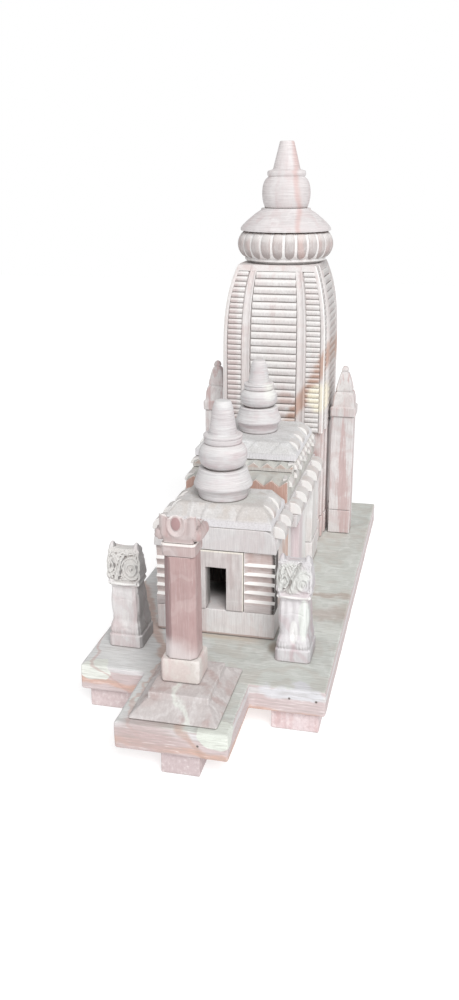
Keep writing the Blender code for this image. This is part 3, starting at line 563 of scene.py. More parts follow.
capital_outline = around(2 * CAPITAL_HALF, 2 * CAPITAL_HALF, 1.8 * MM, 0.45 * MM)
count = len(capital_outline)
rings = []
ring_levels = [(0, 0.86, 0, 0)] + [(i / CAPITAL_ROWS, 1, 0, 1) for i in range(CAPITAL_ROWS + 1)]
ring_levels += [(1, 0.965, 0.1, 0.95), (1, 0.91, 0.7, 0.6), (1, 0.80, 1.6, 0.1), (1, 0.55, 2.2, 0),
                (1, 0.3, 2.4, 0)]
for share, girth, drop, crisp in ring_levels:
    ring = []
    for i, p in enumerate(capital_outline):
        outward = capital_outline[(i + 1) % count] - capital_outline[i - 1]
        outward = Vector((outward.y, -outward.x)).normalized()
        u = (p.x if abs(p.y) >= abs(p.x) else p.y) / MM
        full = CAPITAL_RISE - CAPITAL_FALL * (0.5 + 0.5 * p.y * girth / CAPITAL_HALF)
        rise = share * (full + capital_wave(u) * crisp)
        relief = capital_relief(u, rise * CAPITAL_RISE / full) * 0.75 * MM
        spot = (p * (0.90 + 0.08 * min(1.0, rise / 7.0)) + outward * relief) * girth
        ring.append(Vector((PILLAR[0] + spot.x, PILLAR[1] + spot.y, CAPITAL_LOW + (rise - drop) * MM)))
    rings.append(ring)
fit(lofted("pillar_capital_stone", rings, capital_stone), "pink_stone", "pillar_capital")

CURL_OUT = 14.3 * MM
CURL_UP = 6.4 * MM
CURL_LENGTH = 26.4 * MM
CURL_GIRTH = 4.5
CURL_ROWS = 40
CURL_SIDES = 48
for side, word in ((-1, "left"), (1, "right")):
    rings = []
    for step in range(CURL_ROWS + 1):
        along = step / CURL_ROWS
        girth = (1 - (2 * abs(along - 0.5)) ** 8 * 0.5) * (0.86 if step in (0, CURL_ROWS) else 1)
        ring = []
        for i in range(CURL_SIDES):
            angle = 2 * pi * i / CURL_SIDES
            radius = (CURL_GIRTH + 0.35 * cos(5 * angle * side - along * 26)) * girth * MM
            ring.append(Vector((PILLAR[0] + side * (CURL_OUT + radius * cos(angle)),
                                PILLAR[1] + (along - 0.5) * CURL_LENGTH,
                                CAPITAL_LOW + CURL_UP + radius * 1.1 * sin(angle))))
        rings.append(ring)
    fit(lofted("capital_curl_" + word, rings, capital_stone), "pink_stone", "pillar_capital")


# The two guardian lions. Each is one block of stone cut to a squared seated beast: banded foot, two front
# legs, a rolled collar and a broad face with ringed eyes and curled mane, all in low relief on its front.
LION_LEVELS = ((0, 0, 0, 0), (0, 0, 0, 10.2), (0.5, 0.4, 0.4, 10.8), (1.4, 1.3, 1.2, 11.4),
               (0.9, 0.5, 1.4, 15), (1.5, 0.9, 1.8, 18.5), (3.1, 3.2, 3, 25), (2.5, 2.7, 8, 41),
               (3.3, 3.4, 12, 55), (3, 2, 12.4, 57.2), (1.6, 0.3, 12.6, 58.8), (1.6, 0.2, 13, 61),
               (1.6, 0.9, 13.6, 62.2), (0.3, 0.7, 14.2, 65.5), (0.5, 1.8, 18, 78), (1.5, 3.4, 20.2, 88.5),
               (2.6, 4.6, 21.2, 91.6), (4.6, 6.6, 22.6, 93.2))
LION_HALF = 15.3
LION_DEEP = 17.75
LION_HEIGHT = 92.6
LION_ROWS = 220
EAR_LEVELS = ((1, 84), (1, 88.5), (0.9, 0.92, 91), (0.72, 0.78, 93), (0.48, 0.55, 94.8), (0.2, 0.25, 95.9))


def lion_level(z):
    """How far in the sides, the front and the back stand at a height, in millimetres."""
    for low, high in zip(LION_LEVELS, LION_LEVELS[1:]):
        if z <= high[3]:
            share = (z - low[3]) / max(high[3] - low[3], 0.001)
            share = share * share * (3 - 2 * share)
            return [a + (b - a) * share for a, b in zip(low[:3], high[:3])]
    return LION_LEVELS[-1][:3]


def face_relief(u, z, face):
    """The carving on a lion's front, in millimetres outwards. face lists its eyes and its nose's middle."""
    out = 0.0
    if z < 24:
        for toe in (-10.6, -8.0, -5.2, 5.2, 8.0, 10.6):
            out -= 0.45 * bump_at(u - toe, 0.5) * between(z, 11.4, 17.5, 1.2)
        out += 0.8 * bump_at(abs(u) - 7.6, 4.2) * between(z, 12, 19, 2.5)
    gap_top = 31 if "groove" in face else 34
    half_gap = 3.4 * max(0.0, (gap_top - z) / 22)
    out -= 0.7 * between(z, 17, gap_top, 1.4) * between(abs(u - 0.5), -9, max(half_gap, 0.01), 1.5)
    out += 0.5 * bump_at(abs(u) - 7.0, 3.4) * between(z, 22, 50, 5)
    chest = 0.30 * cos(2 * pi * (u + 1.8 * sin(z * 0.10)) / 6.6)
    out += chest * between(z, 26, 57, 3) * between(abs(u), -1, 12, 1)
    out -= 0.35 * bump_at(z - 44.5 + 0.02 * u * u, 0.55) * between(abs(u), -20, 8.5, 1.5)
    out += 0.8 * bump_at(z - 60.0 - 0.012 * u * u, 1.1) - 1.0 * bump_at(z - 57.4 - 0.012 * u * u, 0.8)
    out -= 0.9 * bump_at(z - 62.4 - 0.012 * u * u, 0.7)
    if z > 60:
        for across, up, reach, squash in face["eyes"]:
            away = hypot(u - across, (z - up) * squash)
            turn = 0.10 * face["ring"] * (u - across + z - up) / max(away, 1.0)
            rolls = cos(2 * pi * (away + turn) / face["ring"])
            out += 0.8 * rolls * between(away, -9, reach, 0.6) - 1.0 * bump_at(away - reach - 0.6, 0.7)
            out += 0.8 * bump_at(away, reach * 0.7)
        if "groove" in face:
            away = u - face["groove"][0] - face["groove"][1] * (z - 72)
            out += 1.1 * bump_at(away - 4.2, 2.2) * between(z, 64, 92, 2)
            out -= 2.0 * bump_at(away, 1.5) * between(z, 63, 91, 2)
        nose = face["nose"] + face["lean"] * (z - 72)
        out += 1.6 * bump_at(u - nose, 2.5 - (z - 62) * 0.03) * between(z, 63, 84, 3)
        for side in (-1, 1):
            out -= 1.1 * bump_at(u - nose - side * (3.1 - (z - 64) * 0.05), 0.6) * between(z, 64, 86, 2)
            nostril = hypot(u - nose - side * 3.6, z - 65.6)
            out += 0.7 * cos(2 * pi * nostril / 2.8) * between(nostril, -5, 2.6, 0.6)
        crumple = noise.noise(Vector((u * 0.42, z * 0.42, face["nose"])))
        out += 0.55 * crumple * between(z, 63, 92, 2) * between(abs(u), -1, 14, 1)
        rough = noise.noise(Vector((u * 0.9, z * 0.9, face["nose"] + 5)))
        out += 1.1 * rough * between(z, 83, 96, 1.5)
        strands = 0.35 * cos(2 * pi * (u + 0.45 * (z - 70)) / 2.9)
        out += strands * between(z, 63, 88, 2) * between(u, -14, -1, 1)
    return out


def flank_relief(v, z):
    """The carving on a lion's side, in millimetres outwards: shoulder, haunch, tail and strands of mane."""
    haunch = hypot((v - 6) / 9.5, (z - 24) / 11)
    out = 1.1 * bump_at(haunch, 0.75) - 0.7 * bump_at(haunch - 1.02, 0.09)
    shoulder = hypot((v + 8) / 6.5, (z - 40) / 14)
    out += 0.6 * bump_at(shoulder, 0.8) - 0.4 * bump_at(shoulder - 1.05, 0.08)
    out += 0.6 * bump_at(v - 4 - 5 * sin(z * 0.09), 1.0) * between(z, 34, 58, 3)
    out += 0.35 * cos(2 * pi * (v + 1.6 * sin(z * 0.35)) / 3.4) * between(z, 64, 91, 2)
    return out + 0.9 * bump_at(z - 60.0, 1.3) - 0.7 * bump_at(z - 57.0, 0.8)


def carve_lion(name, node, material, **face):
    """One lion: a lattice of points round the block, pushed out and in by its carving, and two small ears."""
    low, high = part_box(node)
    middle_x, middle_y = (low.x + high.x) / 2, low.y + LION_DEEP * MM
    outline = around(2 * LION_HALF * MM, 2 * LION_DEEP * MM, 2.6 * MM, 0.42 * MM)
    rings = []
    for row, z in enumerate([0, 0] + [LION_HEIGHT * i / LION_ROWS for i in range(1, LION_ROWS + 1)]):
        side_in, front_in, back_in = lion_level(z)
        ring = []
        for p in outline:
            a, b = p.x / (LION_HALF * MM), p.y / (LION_DEEP * MM)
            x = a * (LION_HALF - side_in)
            y = -LION_DEEP + front_in + (b + 1) / 2 * (2 * LION_DEEP - front_in - back_in)
            level = z - (1.6 * (1 - (x / 12) ** 2) * (z - 84) / 9 if z > 84 else 0)
            near_corner = min(1, (1 - min(abs(a), abs(b))) / 0.10)
            if row > 1 and b < -0.95:
                y -= face_relief(x, z, face) * near_corner
            elif row > 1 and b > 0.95 and z > 12:
                strands = 0.4 * cos(2 * pi * (x + 1.4 * sin(z * 0.25)) / 3.4) * between(z, 50, 88, 3)
                tail = 1.3 * bump_at(x - 2.5 * sin(z * 0.11), 1.7) * between(z, 14, 46, 3)
                y += (strands + tail) * near_corner
            elif row > 1 and abs(a) > 0.95 and z > 11.5:
                x += (1 if a > 0 else -1) * flank_relief(y, z) * near_corner
            ring.append(Vector((middle_x + x * MM, middle_y + y * MM, low.z + level * MM)))
        rings.append(ring)
    first = sum(rings[0], Vector()) / len(rings[0])
    rings[0] = [first.lerp(spot, 0.9) for spot in rings[0]]
    top = rings[-1]
    middle = sum(top, Vector()) / len(top)
    for share, drop in ((0.97, 0.1), (0.9, 0.1), (0.6, 0.8), (0.25, 1)):
        rings.append([middle.lerp(spot, share) - Vector((0, 0, drop * MM)) for spot in top])
    fit(lofted(name, rings, material), "pale_stone", node)
    for side, word in ((-1, "left"), (1, "right")):
        ear = stacked(f"{name}_ear_{word}", (middle_x + side * 10.7 * MM, middle_y - 9.4 * MM),
                      around(6.6 * MM, 8 * MM, 1.8 * MM, 0.8 * MM), EAR_LEVELS, material, low.z)
        fit(ear, "pale_stone", node)


LION_WHITE = (0.770, 0.755, 0.745)
left_lion_stone = stone(
    "left_lion_stone", (0.715, 0.69, 0.69), (0.61, 0.53, 0.53), seed=12, swirl=0.4, grit=0.16, speckle=0.18,
    shade=0.85, dust_and_shade=1, edge=0.7, bump=0.15, marks=(
        patch((-77, -155, 120), 16, (0.62, 0.61, 0.58), stretch=(0.7, 0.4, 0.8), wobble=14, share=0.7),
        patch((-77, -155, 68), 5, LION_WHITE, stretch=(1.2, 0.4, 0.5), wobble=6, share=0.6),
        band((0, 0, 1), 102.3, 1.6, WHITE, core=0.4, wobble=1, share=0.9),
        # Painted highlight: a paler patch where the head's right side rounds towards the light.
        patch((-62, -155, 119), 9, (0.56, 0.55, 0.53), stretch=(0.8, 1, 0.5), core=0.4, wobble=3)))
right_lion_stone = stone(
    "right_lion_stone", (0.67, 0.65, 0.665), (0.57, 0.46, 0.48), seed=17, swirl=0.45, grit=0.16,
    speckle=0.12, shade=0.4, dust_and_shade=1, edge=0.7, bump=0.15, marks=(
        patch((79, -150, 82), 8.5, (0.78, 0.82, 0.78), stretch=(1.6, 0.4, 0.42), wobble=10, share=0.85),
        patch((68, -152, 120), 14, (0.62, 0.64, 0.6), stretch=(0.8, 0.4, 0.9), wobble=12, share=0.7),
        band((0, 0, 1), 102.3, 1.6, WHITE, core=0.4, wobble=1, share=0.9),
        patch((70.5, -150, 70), 5.5, (0.86, 0.86, 0.85), stretch=(1.3, 0.4, 0.45), wobble=3, share=0.9)))
carve_lion("lion_left_stone", "lion_left", left_lion_stone, ring=4.2, nose=-3.6, lean=0.30,
           eyes=((7.6, 74.5, 8.4, 0.80), (-12, 76, 4.4, 0.7)))
carve_lion("lion_right_stone", "lion_right", right_lion_stone, ring=4.2, nose=-11, lean=0.1,
           eyes=((8, 72.5, 6.6, 0.85), (-7.8, 73.5, 4, 0.7)), groove=(-3.4, 0.42))


# The front hall. Its plinth and walls are squared stones. The door frame is one slab, set in front of the
# ledged walls, and the room behind it is hollow. A frieze with rounded side blocks and a sloping roof slab
# close it.
HALL_X = -6 * MM
CREAM_HIGHLIGHT = (0.860, 0.820, 0.720)
plinth_stone = stone(
    "plinth_stone", (0.76, 0.74, 0.735), (0.68, 0.6, 0.585), seed=21, marks=(
        band((0, 0, 1), 43, 1.8, (0.36, 0.25, 0.21), wobble=1.5, share=0.75),
        # Painted shade: near-black on the floor inside the front hall, seen through the doorway.
        patch((-6, -64, 68), 28, (0.03, 0.027, 0.025), stretch=(0.8, 0.9, 0.8), core=0.25, wobble=2)))
bed("hall_plinth", plinth_stone, seed=3)

frame_stone = stone(
    "frame_stone", (0.645, 0.605, 0.595), (0.56, 0.49, 0.48), seed=25, grain=(1.1, 1.1, 0.06), edge=1,
    marks=(
        # Painted highlight: thin cream lines along the frame's top and right edges, where light catches them.
        band((0, 0, 1), 123.6, 1.5, CREAM_HIGHLIGHT, core=0.4, wobble=0.6, share=0.8),
        band((1, 0, 0), 20, 1.4, CREAM_HIGHLIGHT, core=0.4, wobble=0.6, share=0.8),
        # Painted shade: the door opening's inner faces are darkened.
        patch((-15.3, -98, 88), 11, (0.27, 0.26, 0.25), stretch=(1, 0.72, 0.3), core=0.5, wobble=2)))
lintel_low, lintel_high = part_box("door_lintel")
jamb_low, jamb_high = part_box("door_jamb_left")
door_left, door_right = jamb_high.x + 2.2 * MM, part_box("door_jamb_right")[0].x
frame_outline = [(lintel_low.x, jamb_low.z), (door_left, jamb_low.z), (door_left, jamb_high.z),
                 (door_right, jamb_high.z), (door_right, jamb_low.z), (lintel_high.x, jamb_low.z),
                 (lintel_high.x, lintel_high.z), (lintel_low.x, lintel_high.z)]
frame_piece = hewn("door_frame", frame_outline, -lintel_high.y, -lintel_low.y, frame_stone, edge=0.7 * MM,
                   step=2.5 * MM, waver=0.12 * MM, upright=False)
fit(frame_piece, "pale_stone", "door_lintel", "door_jamb_left", "door_jamb_right")

LEDGES = 5
LEDGE_FOOT = 9.3
LEDGE_PITCH = 8.75
WALL_BACK = 16
WALL_TOP = 56.7
LEDGE_STATIONS = 22
ledge_stone = stone(
    "ledge_stone", (0.64, 0.55, 0.535), (0.55, 0.43, 0.405), seed=29, grain=(0.06, 0.06, 1), dust_and_shade=1, lit=1,
    edge=0.8, marks=(
        band((0, 0, 1), 68.5, 8, (0.7, 0.65, 0.65), core=0.6, wobble=2, share=0.8),
        # Painted shadow: the ledges turn nearly black at the right wall's end, beside the right lion.
        band((1, 0, 0), 50, 6.5, (0.02, 0.018, 0.017), core=0.55, wobble=2, share=0.96)))
ledge_profile = [(WALL_BACK, 0), (0.3, 0), (0, 0.3)]
for i in range(LEDGES):
    nose = LEDGE_FOOT + LEDGE_PITCH * i
    ledge_profile += [(0.15, nose - 0.7), (0, nose - 0.35), (0.05, nose), (0.45, nose + 0.35),
                      (3.1, nose + 1.5), (3.2, nose + 2)]
    if i < LEDGES - 1:
        ledge_profile += [(2.6, nose + 4), (1.6, nose + LEDGE_PITCH - 2), (0.9, nose + LEDGE_PITCH - 1.3)]
ledge_profile += [(2.4, 52), (1.6, 56.5), (WALL_BACK, WALL_TOP)]
for name, inner_side in (("front_wall_left", 1), ("front_wall_right", -1)):
    low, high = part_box(name)
    inner_edge = high.x if inner_side > 0 else low.x
    rings = []
    for i in range(LEDGE_STATIONS + 1):
        x = low.x + 0.15 * MM + (high.x - low.x - 0.3 * MM) * i / LEDGE_STATIONS
        depth_share = min(1, 0.15 + abs(x - inner_edge) / (5 * MM))
        ring = []
        for depth, rise in ledge_profile:
            reach = depth if depth == WALL_BACK else depth * depth_share
            spot = Vector((x, low.y + reach * MM, low.z + rise * MM))
            if depth < WALL_BACK and 0 < rise < WALL_TOP:
                moved = wavering(spot, 0.16 * MM, 4)
                spot = Vector((x, max(moved.y, low.y), moved.z))
            ring.append(spot)
        rings.append(ring)
    wall = lofted(name + "_stone", rings, ledge_stone)
    wall.data.set_sharp_from_angle(angle=radians(60))
    fit(wall, "pale_stone", name)

side_stone = stone(
    "side_stone", (0.7, 0.64, 0.62), (0.56, 0.4, 0.34), seed=33, streak_share=(0.46, 0.62), marks=(
        band((0, 1, 0), -56, 13, (0.6, 0.4, 0.32), core=0.3, wobble=12, share=0.8),
        # Painted shade: near-black inside the front hall, behind the doorway.
        patch((-6, -75, 100), 40, (0.012, 0.011, 0.01), stretch=(0.85, 1, 0.6), core=0.95, wobble=0)))
for name in ("hall_wall_left", "hall_wall_right", "hall_wall_back"):
    bed(name, side_stone, step=3 * MM)


def new_tree(name, **inputs):
    """A tree that copies a first stone and turns the copies about a centre, with inputs of its own."""
    tree = bpy.data.node_groups.new(name, "GeometryNodeTree")
    common = {"Geometry": "Geometry", "Count": "Int", "Turns": "Int", "Centre": "Vector", "Stone": "Material"}
    for label, kind in {**common, **inputs}.items():
        tree.interface.new_socket(label, in_out="INPUT", socket_type="NodeSocket" + kind)
    tree.interface.new_socket("Geometry", in_out="OUTPUT", socket_type="NodeSocketGeometry")
    return tree, Wire.node(tree, "NodeGroupInput")


def turned_copies(tree, given, shape):
    """Sets copies of a shape evenly round the tree's centre, makes them real and gives them their stone."""
    spots = Wire.node(tree, "GeometryNodeMeshLine", {"Count": given.output("Turns"), "Offset": (0, 0, 0)})
    angle = Wire.node(tree, "GeometryNodeInputIndex") * (2 * pi) / given.output("Turns")
    spin = Wire.node(tree, "ShaderNodeCombineXYZ", {"Z": angle})
    spin = Wire.node(tree, "FunctionNodeEulerToRotation", {0: spin})
    copies = Wire.node(tree, "GeometryNodeInstanceOnPoints",
                       {"Points": spots, "Instance": shape, "Rotation": spin})
    moved = Wire.node(tree, "GeometryNodeTransform",
                      {"Geometry": copies, "Translation": given.output("Centre")})
    real = Wire.node(tree, "GeometryNodeRealizeInstances", {"Geometry": moved})
    done = Wire.node(tree, "GeometryNodeSetMaterial", {"Geometry": real, "Material": given.output("Stone")})
    end = tree.nodes.new("NodeGroupOutput")
    tree.links.new(done.socket, end.inputs[0])


CHANCE_SEED = 7
rows_tree, given = new_tree("stone_rows", Step="Vector", Wander="Float")
line = Wire.node(rows_tree, "GeometryNodeMeshLine",
                 {"Count": given.output("Count"), "Offset": given.output("Step")})
stones = Wire.node(rows_tree, "GeometryNodeInstanceOnPoints",
                   {"Points": line, "Instance": given.output("Geometry")})
chance = Wire.node(rows_tree, "FunctionNodeRandomValue", {0: (-1, -1, -1), 1: (1, 1, 1), "Seed": CHANCE_SEED},
                   data_type="FLOAT_VECTOR")
drift = Wire.node(rows_tree, "ShaderNodeVectorMath", {0: chance, "Scale": given.output("Wander")},
                  operation="SCALE")
stones = Wire.node(rows_tree, "GeometryNodeTranslateInstances", {"Instances": stones, "Translation": drift})
inwards = Wire.node(rows_tree, "ShaderNodeVectorMath", {0: given.output("Centre"), "Scale": -1},
                    operation="SCALE")
stones = Wire.node(rows_tree, "GeometryNodeTransform", {"Geometry": stones, "Translation": inwards})
turned_copies(rows_tree, given, stones)


def grown(seed_piece, tree, **sizes):
    """Runs a tree on a first stone, with its inputs by name, and keeps the result as a plain mesh."""
    modifier = seed_piece.modifiers.new("rows", "NODES")
    modifier.node_group = tree
    for item in tree.interface.items_tree:
        if item.in_out == "INPUT" and item.name in sizes:
            modifier[item.identifier] = sizes[item.name]
    finished = seed_piece.evaluated_get(bpy.context.evaluated_depsgraph_get())
    mesh = bpy.data.meshes.new_from_object(finished)
    seed_piece.modifiers.clear()
    seed_piece.data = mesh
    return seed_piece


QUARTER_ARC = [(cos(pi / 2 * i / 8), sin(pi / 2 * i / 8)) for i in range(9)]


def block_row(node, inner, reach, low, high, round_off, count, near, far):
    """Blocks along both sides of a course, each flat below and inside, with its outer top rounded off."""
    box_low, box_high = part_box(node)
    middle = (box_low.x + box_high.x) / 2
    pitch = (far - near) / count
    start = near + pitch / 4
    section = [(inner, low), (reach, low)]
    section += [(reach - round_off * (1 - c), high - round_off * (1 - s)) for c, s in QUARTER_ARC]
    section.append((inner, high))
    section = [(middle + x, z) for x, z in section]
    first = hewn(node + "_blocks", section, -start - pitch / 2, -start, block_stone, edge=0.5 * MM,
                 step=2 * MM, waver=0.1 * MM, upright=False)
    row = grown(first, rows_tree, Count=count, Step=(0.0, pitch, 0.0), Turns=2,
                Centre=(middle, (near + far) / 2, 0.0), Wander=0.12 * MM, Stone=block_stone)
    fit(row, "pale_stone", node)


def relief_slab(name, x_places, y_places, low, height_at, material):
    """A roof slab whose upper side follows height_at(x, y), with upright sides and a flat underside."""
    across, along = len(x_places), len(y_places)
    points = []
    for y in y_places:
        for x in x_places:
            rise = noise.noise(Vector((x, y, low)) * 120) * 0.12 * MM
            points.append((x, y, height_at(x, y) + rise))
    faces = []
    for row in range(along - 1):
        for i in range(across - 1):
            at = row * across + i
            faces.append((at, at + 1, at + across + 1, at + across))
    rim = list(range(across)) + [row * across + across - 1 for row in range(1, along)]
    rim += [(along - 1) * across + i for i in range(across - 2, -1, -1)]
    rim += [row * across for row in range(along - 2, 0, -1)]
    start, count = len(points), len(rim)
    points += [(points[i][0], points[i][1], low) for i in rim]
    for k in range(count):
        faces.append((rim[k], start + k, start + (k + 1) % count, rim[(k + 1) % count]))
    faces.append(tuple(range(start, start + count)))
    piece = as_piece(name, points, faces, material)
    piece.data.set_sharp_from_angle(angle=radians(38))
    return piece


def places(low, high, step):
    """Even steps between two limits."""
    count = max(2, round((high - low) / step))
    return [low + (high - low) * i / count for i in range(count + 1)]


frieze_stone = stone("frieze_stone", (0.68, 0.66, 0.66), (0.62, 0.57, 0.57), seed=37, swirl=0.45)
# Painted highlight: the blocks' tops and fronts are whitened by lit and front.
block_stone = stone("block_stone", (0.545, 0.52, 0.51), (0.51, 0.43, 0.41), seed=41, lit=0.3, front=0.75,
                    dust_and_shade=1, edge=1)
BLOCK_RISE = 11.5 * MM
BED_GAP = 0.1 * MM


def eave(name, middle, half, core_half, front):
    """The plain frieze of an eave, and on it the core that carries its rounded blocks."""
    node = name + "_eave"
    low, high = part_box(node)
    top = high.z - BLOCK_RISE
    for part, reach, bottom, upper in ((name + "_frieze", half, low.z, top),
                                       (name + "_eave_core", core_half, top + BED_GAP, high.z)):
        corners = oblong(middle - reach, middle + reach, front, high.y)
        fit(hewn(part, corners, bottom, upper, frieze_stone), "pale_stone", node)


BRACKET_HALF = 55 * MM
BRACKET_FOOT = 4 * MM
eave_low, eave_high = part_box("hall_eave")
bracket = [(BRACKET_HALF, eave_low.z), (BRACKET_HALF, eave_low.z + BRACKET_FOOT)]
bracket += [(BRACKET_HALF - 10 * MM * (1 - c), eave_low.z + BRACKET_FOOT + 17.2 * MM * s ** 1.2)
            for c, s in QUARTER_ARC[1:]]
bracket += [(-x, z) for x, z in reversed(bracket)]
bracket = [(HALL_X + x, z) for x, z in bracket]
front_frieze = hewn("hall_frieze_front", bracket, -(eave_low.y + 6 * MM), -eave_low.y, frieze_stone,
                    edge=0.6 * MM, step=2.5 * MM, upright=False)
fit(front_frieze, "pale_stone", "hall_eave")
eave("hall", HALL_X, 54.6 * MM, 50 * MM, eave_low.y + 6.2 * MM)
block_row("hall_eave", 49 * MM, 60.3 * MM, eave_high.z - BLOCK_RISE + BED_GAP, eave_high.z, 9 * MM, 2,
          eave_low.y + 6 * MM, eave_high.y)

roof_stone = stone(
    "roof_stone", (0.62, 0.6, 0.59), (0.56, 0.52, 0.49), seed=45, grain=(0.6, 0.6, 0.6), grit=0.25,
    speckle=0.2, swirl=0.6, edge=1, bump=0.35, marks=(
        band((0, 0, 1), 147, 7.5, (0.73, 0.715, 0.74), core=0.5, wobble=2, share=0.85),
        patch((-3, -80, 168), 19, (0.63, 0.64, 0.61), stretch=(0.45, 0.6, 2.2), share=0.8)))
ROOF_EDGE = 5 * MM
ROOF_SLOPE = 10.5 * MM
CARVED_DEPTH = 13 * MM


def roof_slab(node, x_places, y_places, pitch, slope_rise, carving, material):
    """A roof slab with an upright edge, four sloping sides and a carving at each pitch along its front."""
    low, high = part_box(node)

    def height_at(x, y):
        inward = min(x - low.x, high.x - x, y - low.y, high.y - y)
        rise = (high.z - low.z - ROOF_EDGE) * min(1, max(0, inward / ROOF_SLOPE))
        height = low.z + ROOF_EDGE + rise
        if y < low.y + CARVED_DEPTH:
            height += carving(abs((x - low.x) / pitch % 1 - 0.5), rise / slope_rise)
        return height

    fit(relief_slab(node + "_slab", x_places, y_places, low.z, height_at, material), "pale_stone", node)


def lobe(u, climb):
    """A round lobe. u is the distance from its middle, in pitches, and climb is the share of the slope."""
    return 1.9 * MM * between(u, -1, 0.47 - 0.17 * climb ** 2.2, 0.03) * between(climb, -1, 0.90, 0.10)


roof_low, roof_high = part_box("hall_roof")
roof_slab("hall_roof", places(roof_low.x, roof_high.x, 1.3 * MM), places(roof_low.y, roof_high.y, 1.3 * MM),
          31.3 * MM, 12.7 * MM, lobe, roof_stone)
block_row("hall_roof", 30 * MM, 46.8 * MM, roof_low.z + ROOF_EDGE, roof_high.z - 0.4 * MM, 11 * MM, 2,
          roof_low.y + 11 * MM, roof_high.y - 11 * MM)


# The two turned finials. Each is turned on a lathe from one pale stone: a bell with a sharp rim on a disc,
# and on it a round pot with a collar and a tapering stopper with a flat end.
TURNED_SIDES = 96
TURNED_WAVER = 0.06 * MM


def turned(name, centre, foot, profile, material, rounds=1):
    """A lathe-turned stone. Its profile lists (radius, height above the foot) in millimetres."""
    profile = [(radius * MM, foot + height * MM) for radius, height in profile]
    for _ in range(rounds):
        eased = [profile[0]]
        for (r1, h1), (r2, h2) in zip(profile, profile[1:]):
            eased += [(r1 * k + r2 * (1 - k), h1 * k + h2 * (1 - k)) for k in (0.75, 0.25)]
        profile = eased + [profile[-1]]
    profile = [(profile[0][0] * 0.85, profile[0][1])] + profile + [(profile[-1][0] * 0.6, profile[-1][1])]
    rings = []
    for radius, height in profile:
        ring = []
        for i in range(TURNED_SIDES):
            angle = 2 * pi * i / TURNED_SIDES
            spot = Vector((centre[0] + radius * cos(angle), centre[1] + radius * sin(angle), height))
            spot.xy += noise.noise_vector(spot * 60).xy * TURNED_WAVER
            ring.append(spot)
        rings.append(ring)
    piece = lofted(name, rings, material)
    piece.data.set_sharp_from_angle(angle=radians(45))
    return piece


ACROSS = (0.05, 0.05, 2)
turned_stone = stone(
    "turned_stone", (0.64, 0.625, 0.63), (0.59, 0.51, 0.52), seed=49, grain=ACROSS,
    streak_scale=(0.02, 0.02, 0.1), grit=0.5, lit=0.25, dust_and_shade=0.6, edge=0.9, bump=0.3, marks=(
        # Painted shade: the front finial's left side, turned from the light, is greyed.
        band((1, 0, 0), -36, 19, (0.47, 0.44, 0.45), core=0.1, wobble=4, share=0.6),
        patch((14, 36, 238), 9, (0.8, 0.82, 0.76), stretch=(1, 0.5, 0.45), core=0.3, wobble=5, share=0.8)))
FINIAL_BELL = ((21.4, 0), (21.9, 0.02), (22, 0.07), (22.1, 0.14), (22.7, 0.22), (24.1, 0.31), (25.6, 0.38),
               (26.2, 0.41), (26.3, 0.44), (26, 0.48), (25.2, 0.56), (23.8, 0.7), (22.5, 0.84), (21.9, 0.9),
               (21.7, 0.92), (21.7, 0.985), (21, 1))
FINIAL_POT = ((15.2, 0), (15.8, 0.012), (17.6, 0.03), (19.8, 0.065), (21.1, 0.12), (21.5, 0.18),
              (21.3, 0.24), (20.1, 0.3), (18.2, 0.345), (17, 0.362), (16, 0.37), (15.6, 0.376),
              (16.4, 0.384), (16.9, 0.392), (16.9, 0.45), (16.5, 0.456), (16.5, 0.462), (17.2, 0.468),
              (17.3, 0.49), (17, 0.502), (16.2, 0.507), (13.2, 0.511), (12.6, 0.517), (12.3, 0.54),
              (11.5, 0.61), (10.6, 0.7), (9.9, 0.79), (9.2, 0.88), (8.2, 0.945), (7.3, 0.985), (6.4, 1))
for name, centre, girth in (("front_finial", (HALL_X, -80.25 * MM), 1),
                            ("middle_finial", (0, 48.5 * MM), 0.86)):
    for part, shape in (("bell", FINIAL_BELL), ("pot", FINIAL_POT)):
        low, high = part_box(f"{name}_{part}")
        profile = [(radius * girth, share * (high.z - low.z) / MM) for radius, share in shape]
        piece = turned(f"{name}_{part}_stone", centre, low.z, profile, turned_stone)
        fit(piece, "pale_stone", f"{name}_{part}")


# The middle hall. A long plinth and wall with two square bays on each side carry eaves of rounded blocks, two
# stepped tiers with zigzag fronts, and a sloping roof slab carved with peaks.
def bayed_sides(low, high, bay, count):
    """A rectangle whose long sides each carry a row of square bays."""
    x_half = (high.x - low.x) / 2 - bay
    middle_x, length = (high.x + low.x) / 2, high.y - low.y
    right = [(x_half, low.y)]
    for i in range(count):
        near = low.y + length * (i + 0.25) / count
        far = low.y + length * (i + 0.75) / count
        right += [(x_half, near), (x_half + bay, near), (x_half + bay, far), (x_half, far)]
    right.append((x_half, high.y))
    return [(middle_x + x, y) for x, y in right] + [(middle_x - x, y) for x, y in reversed(right)]


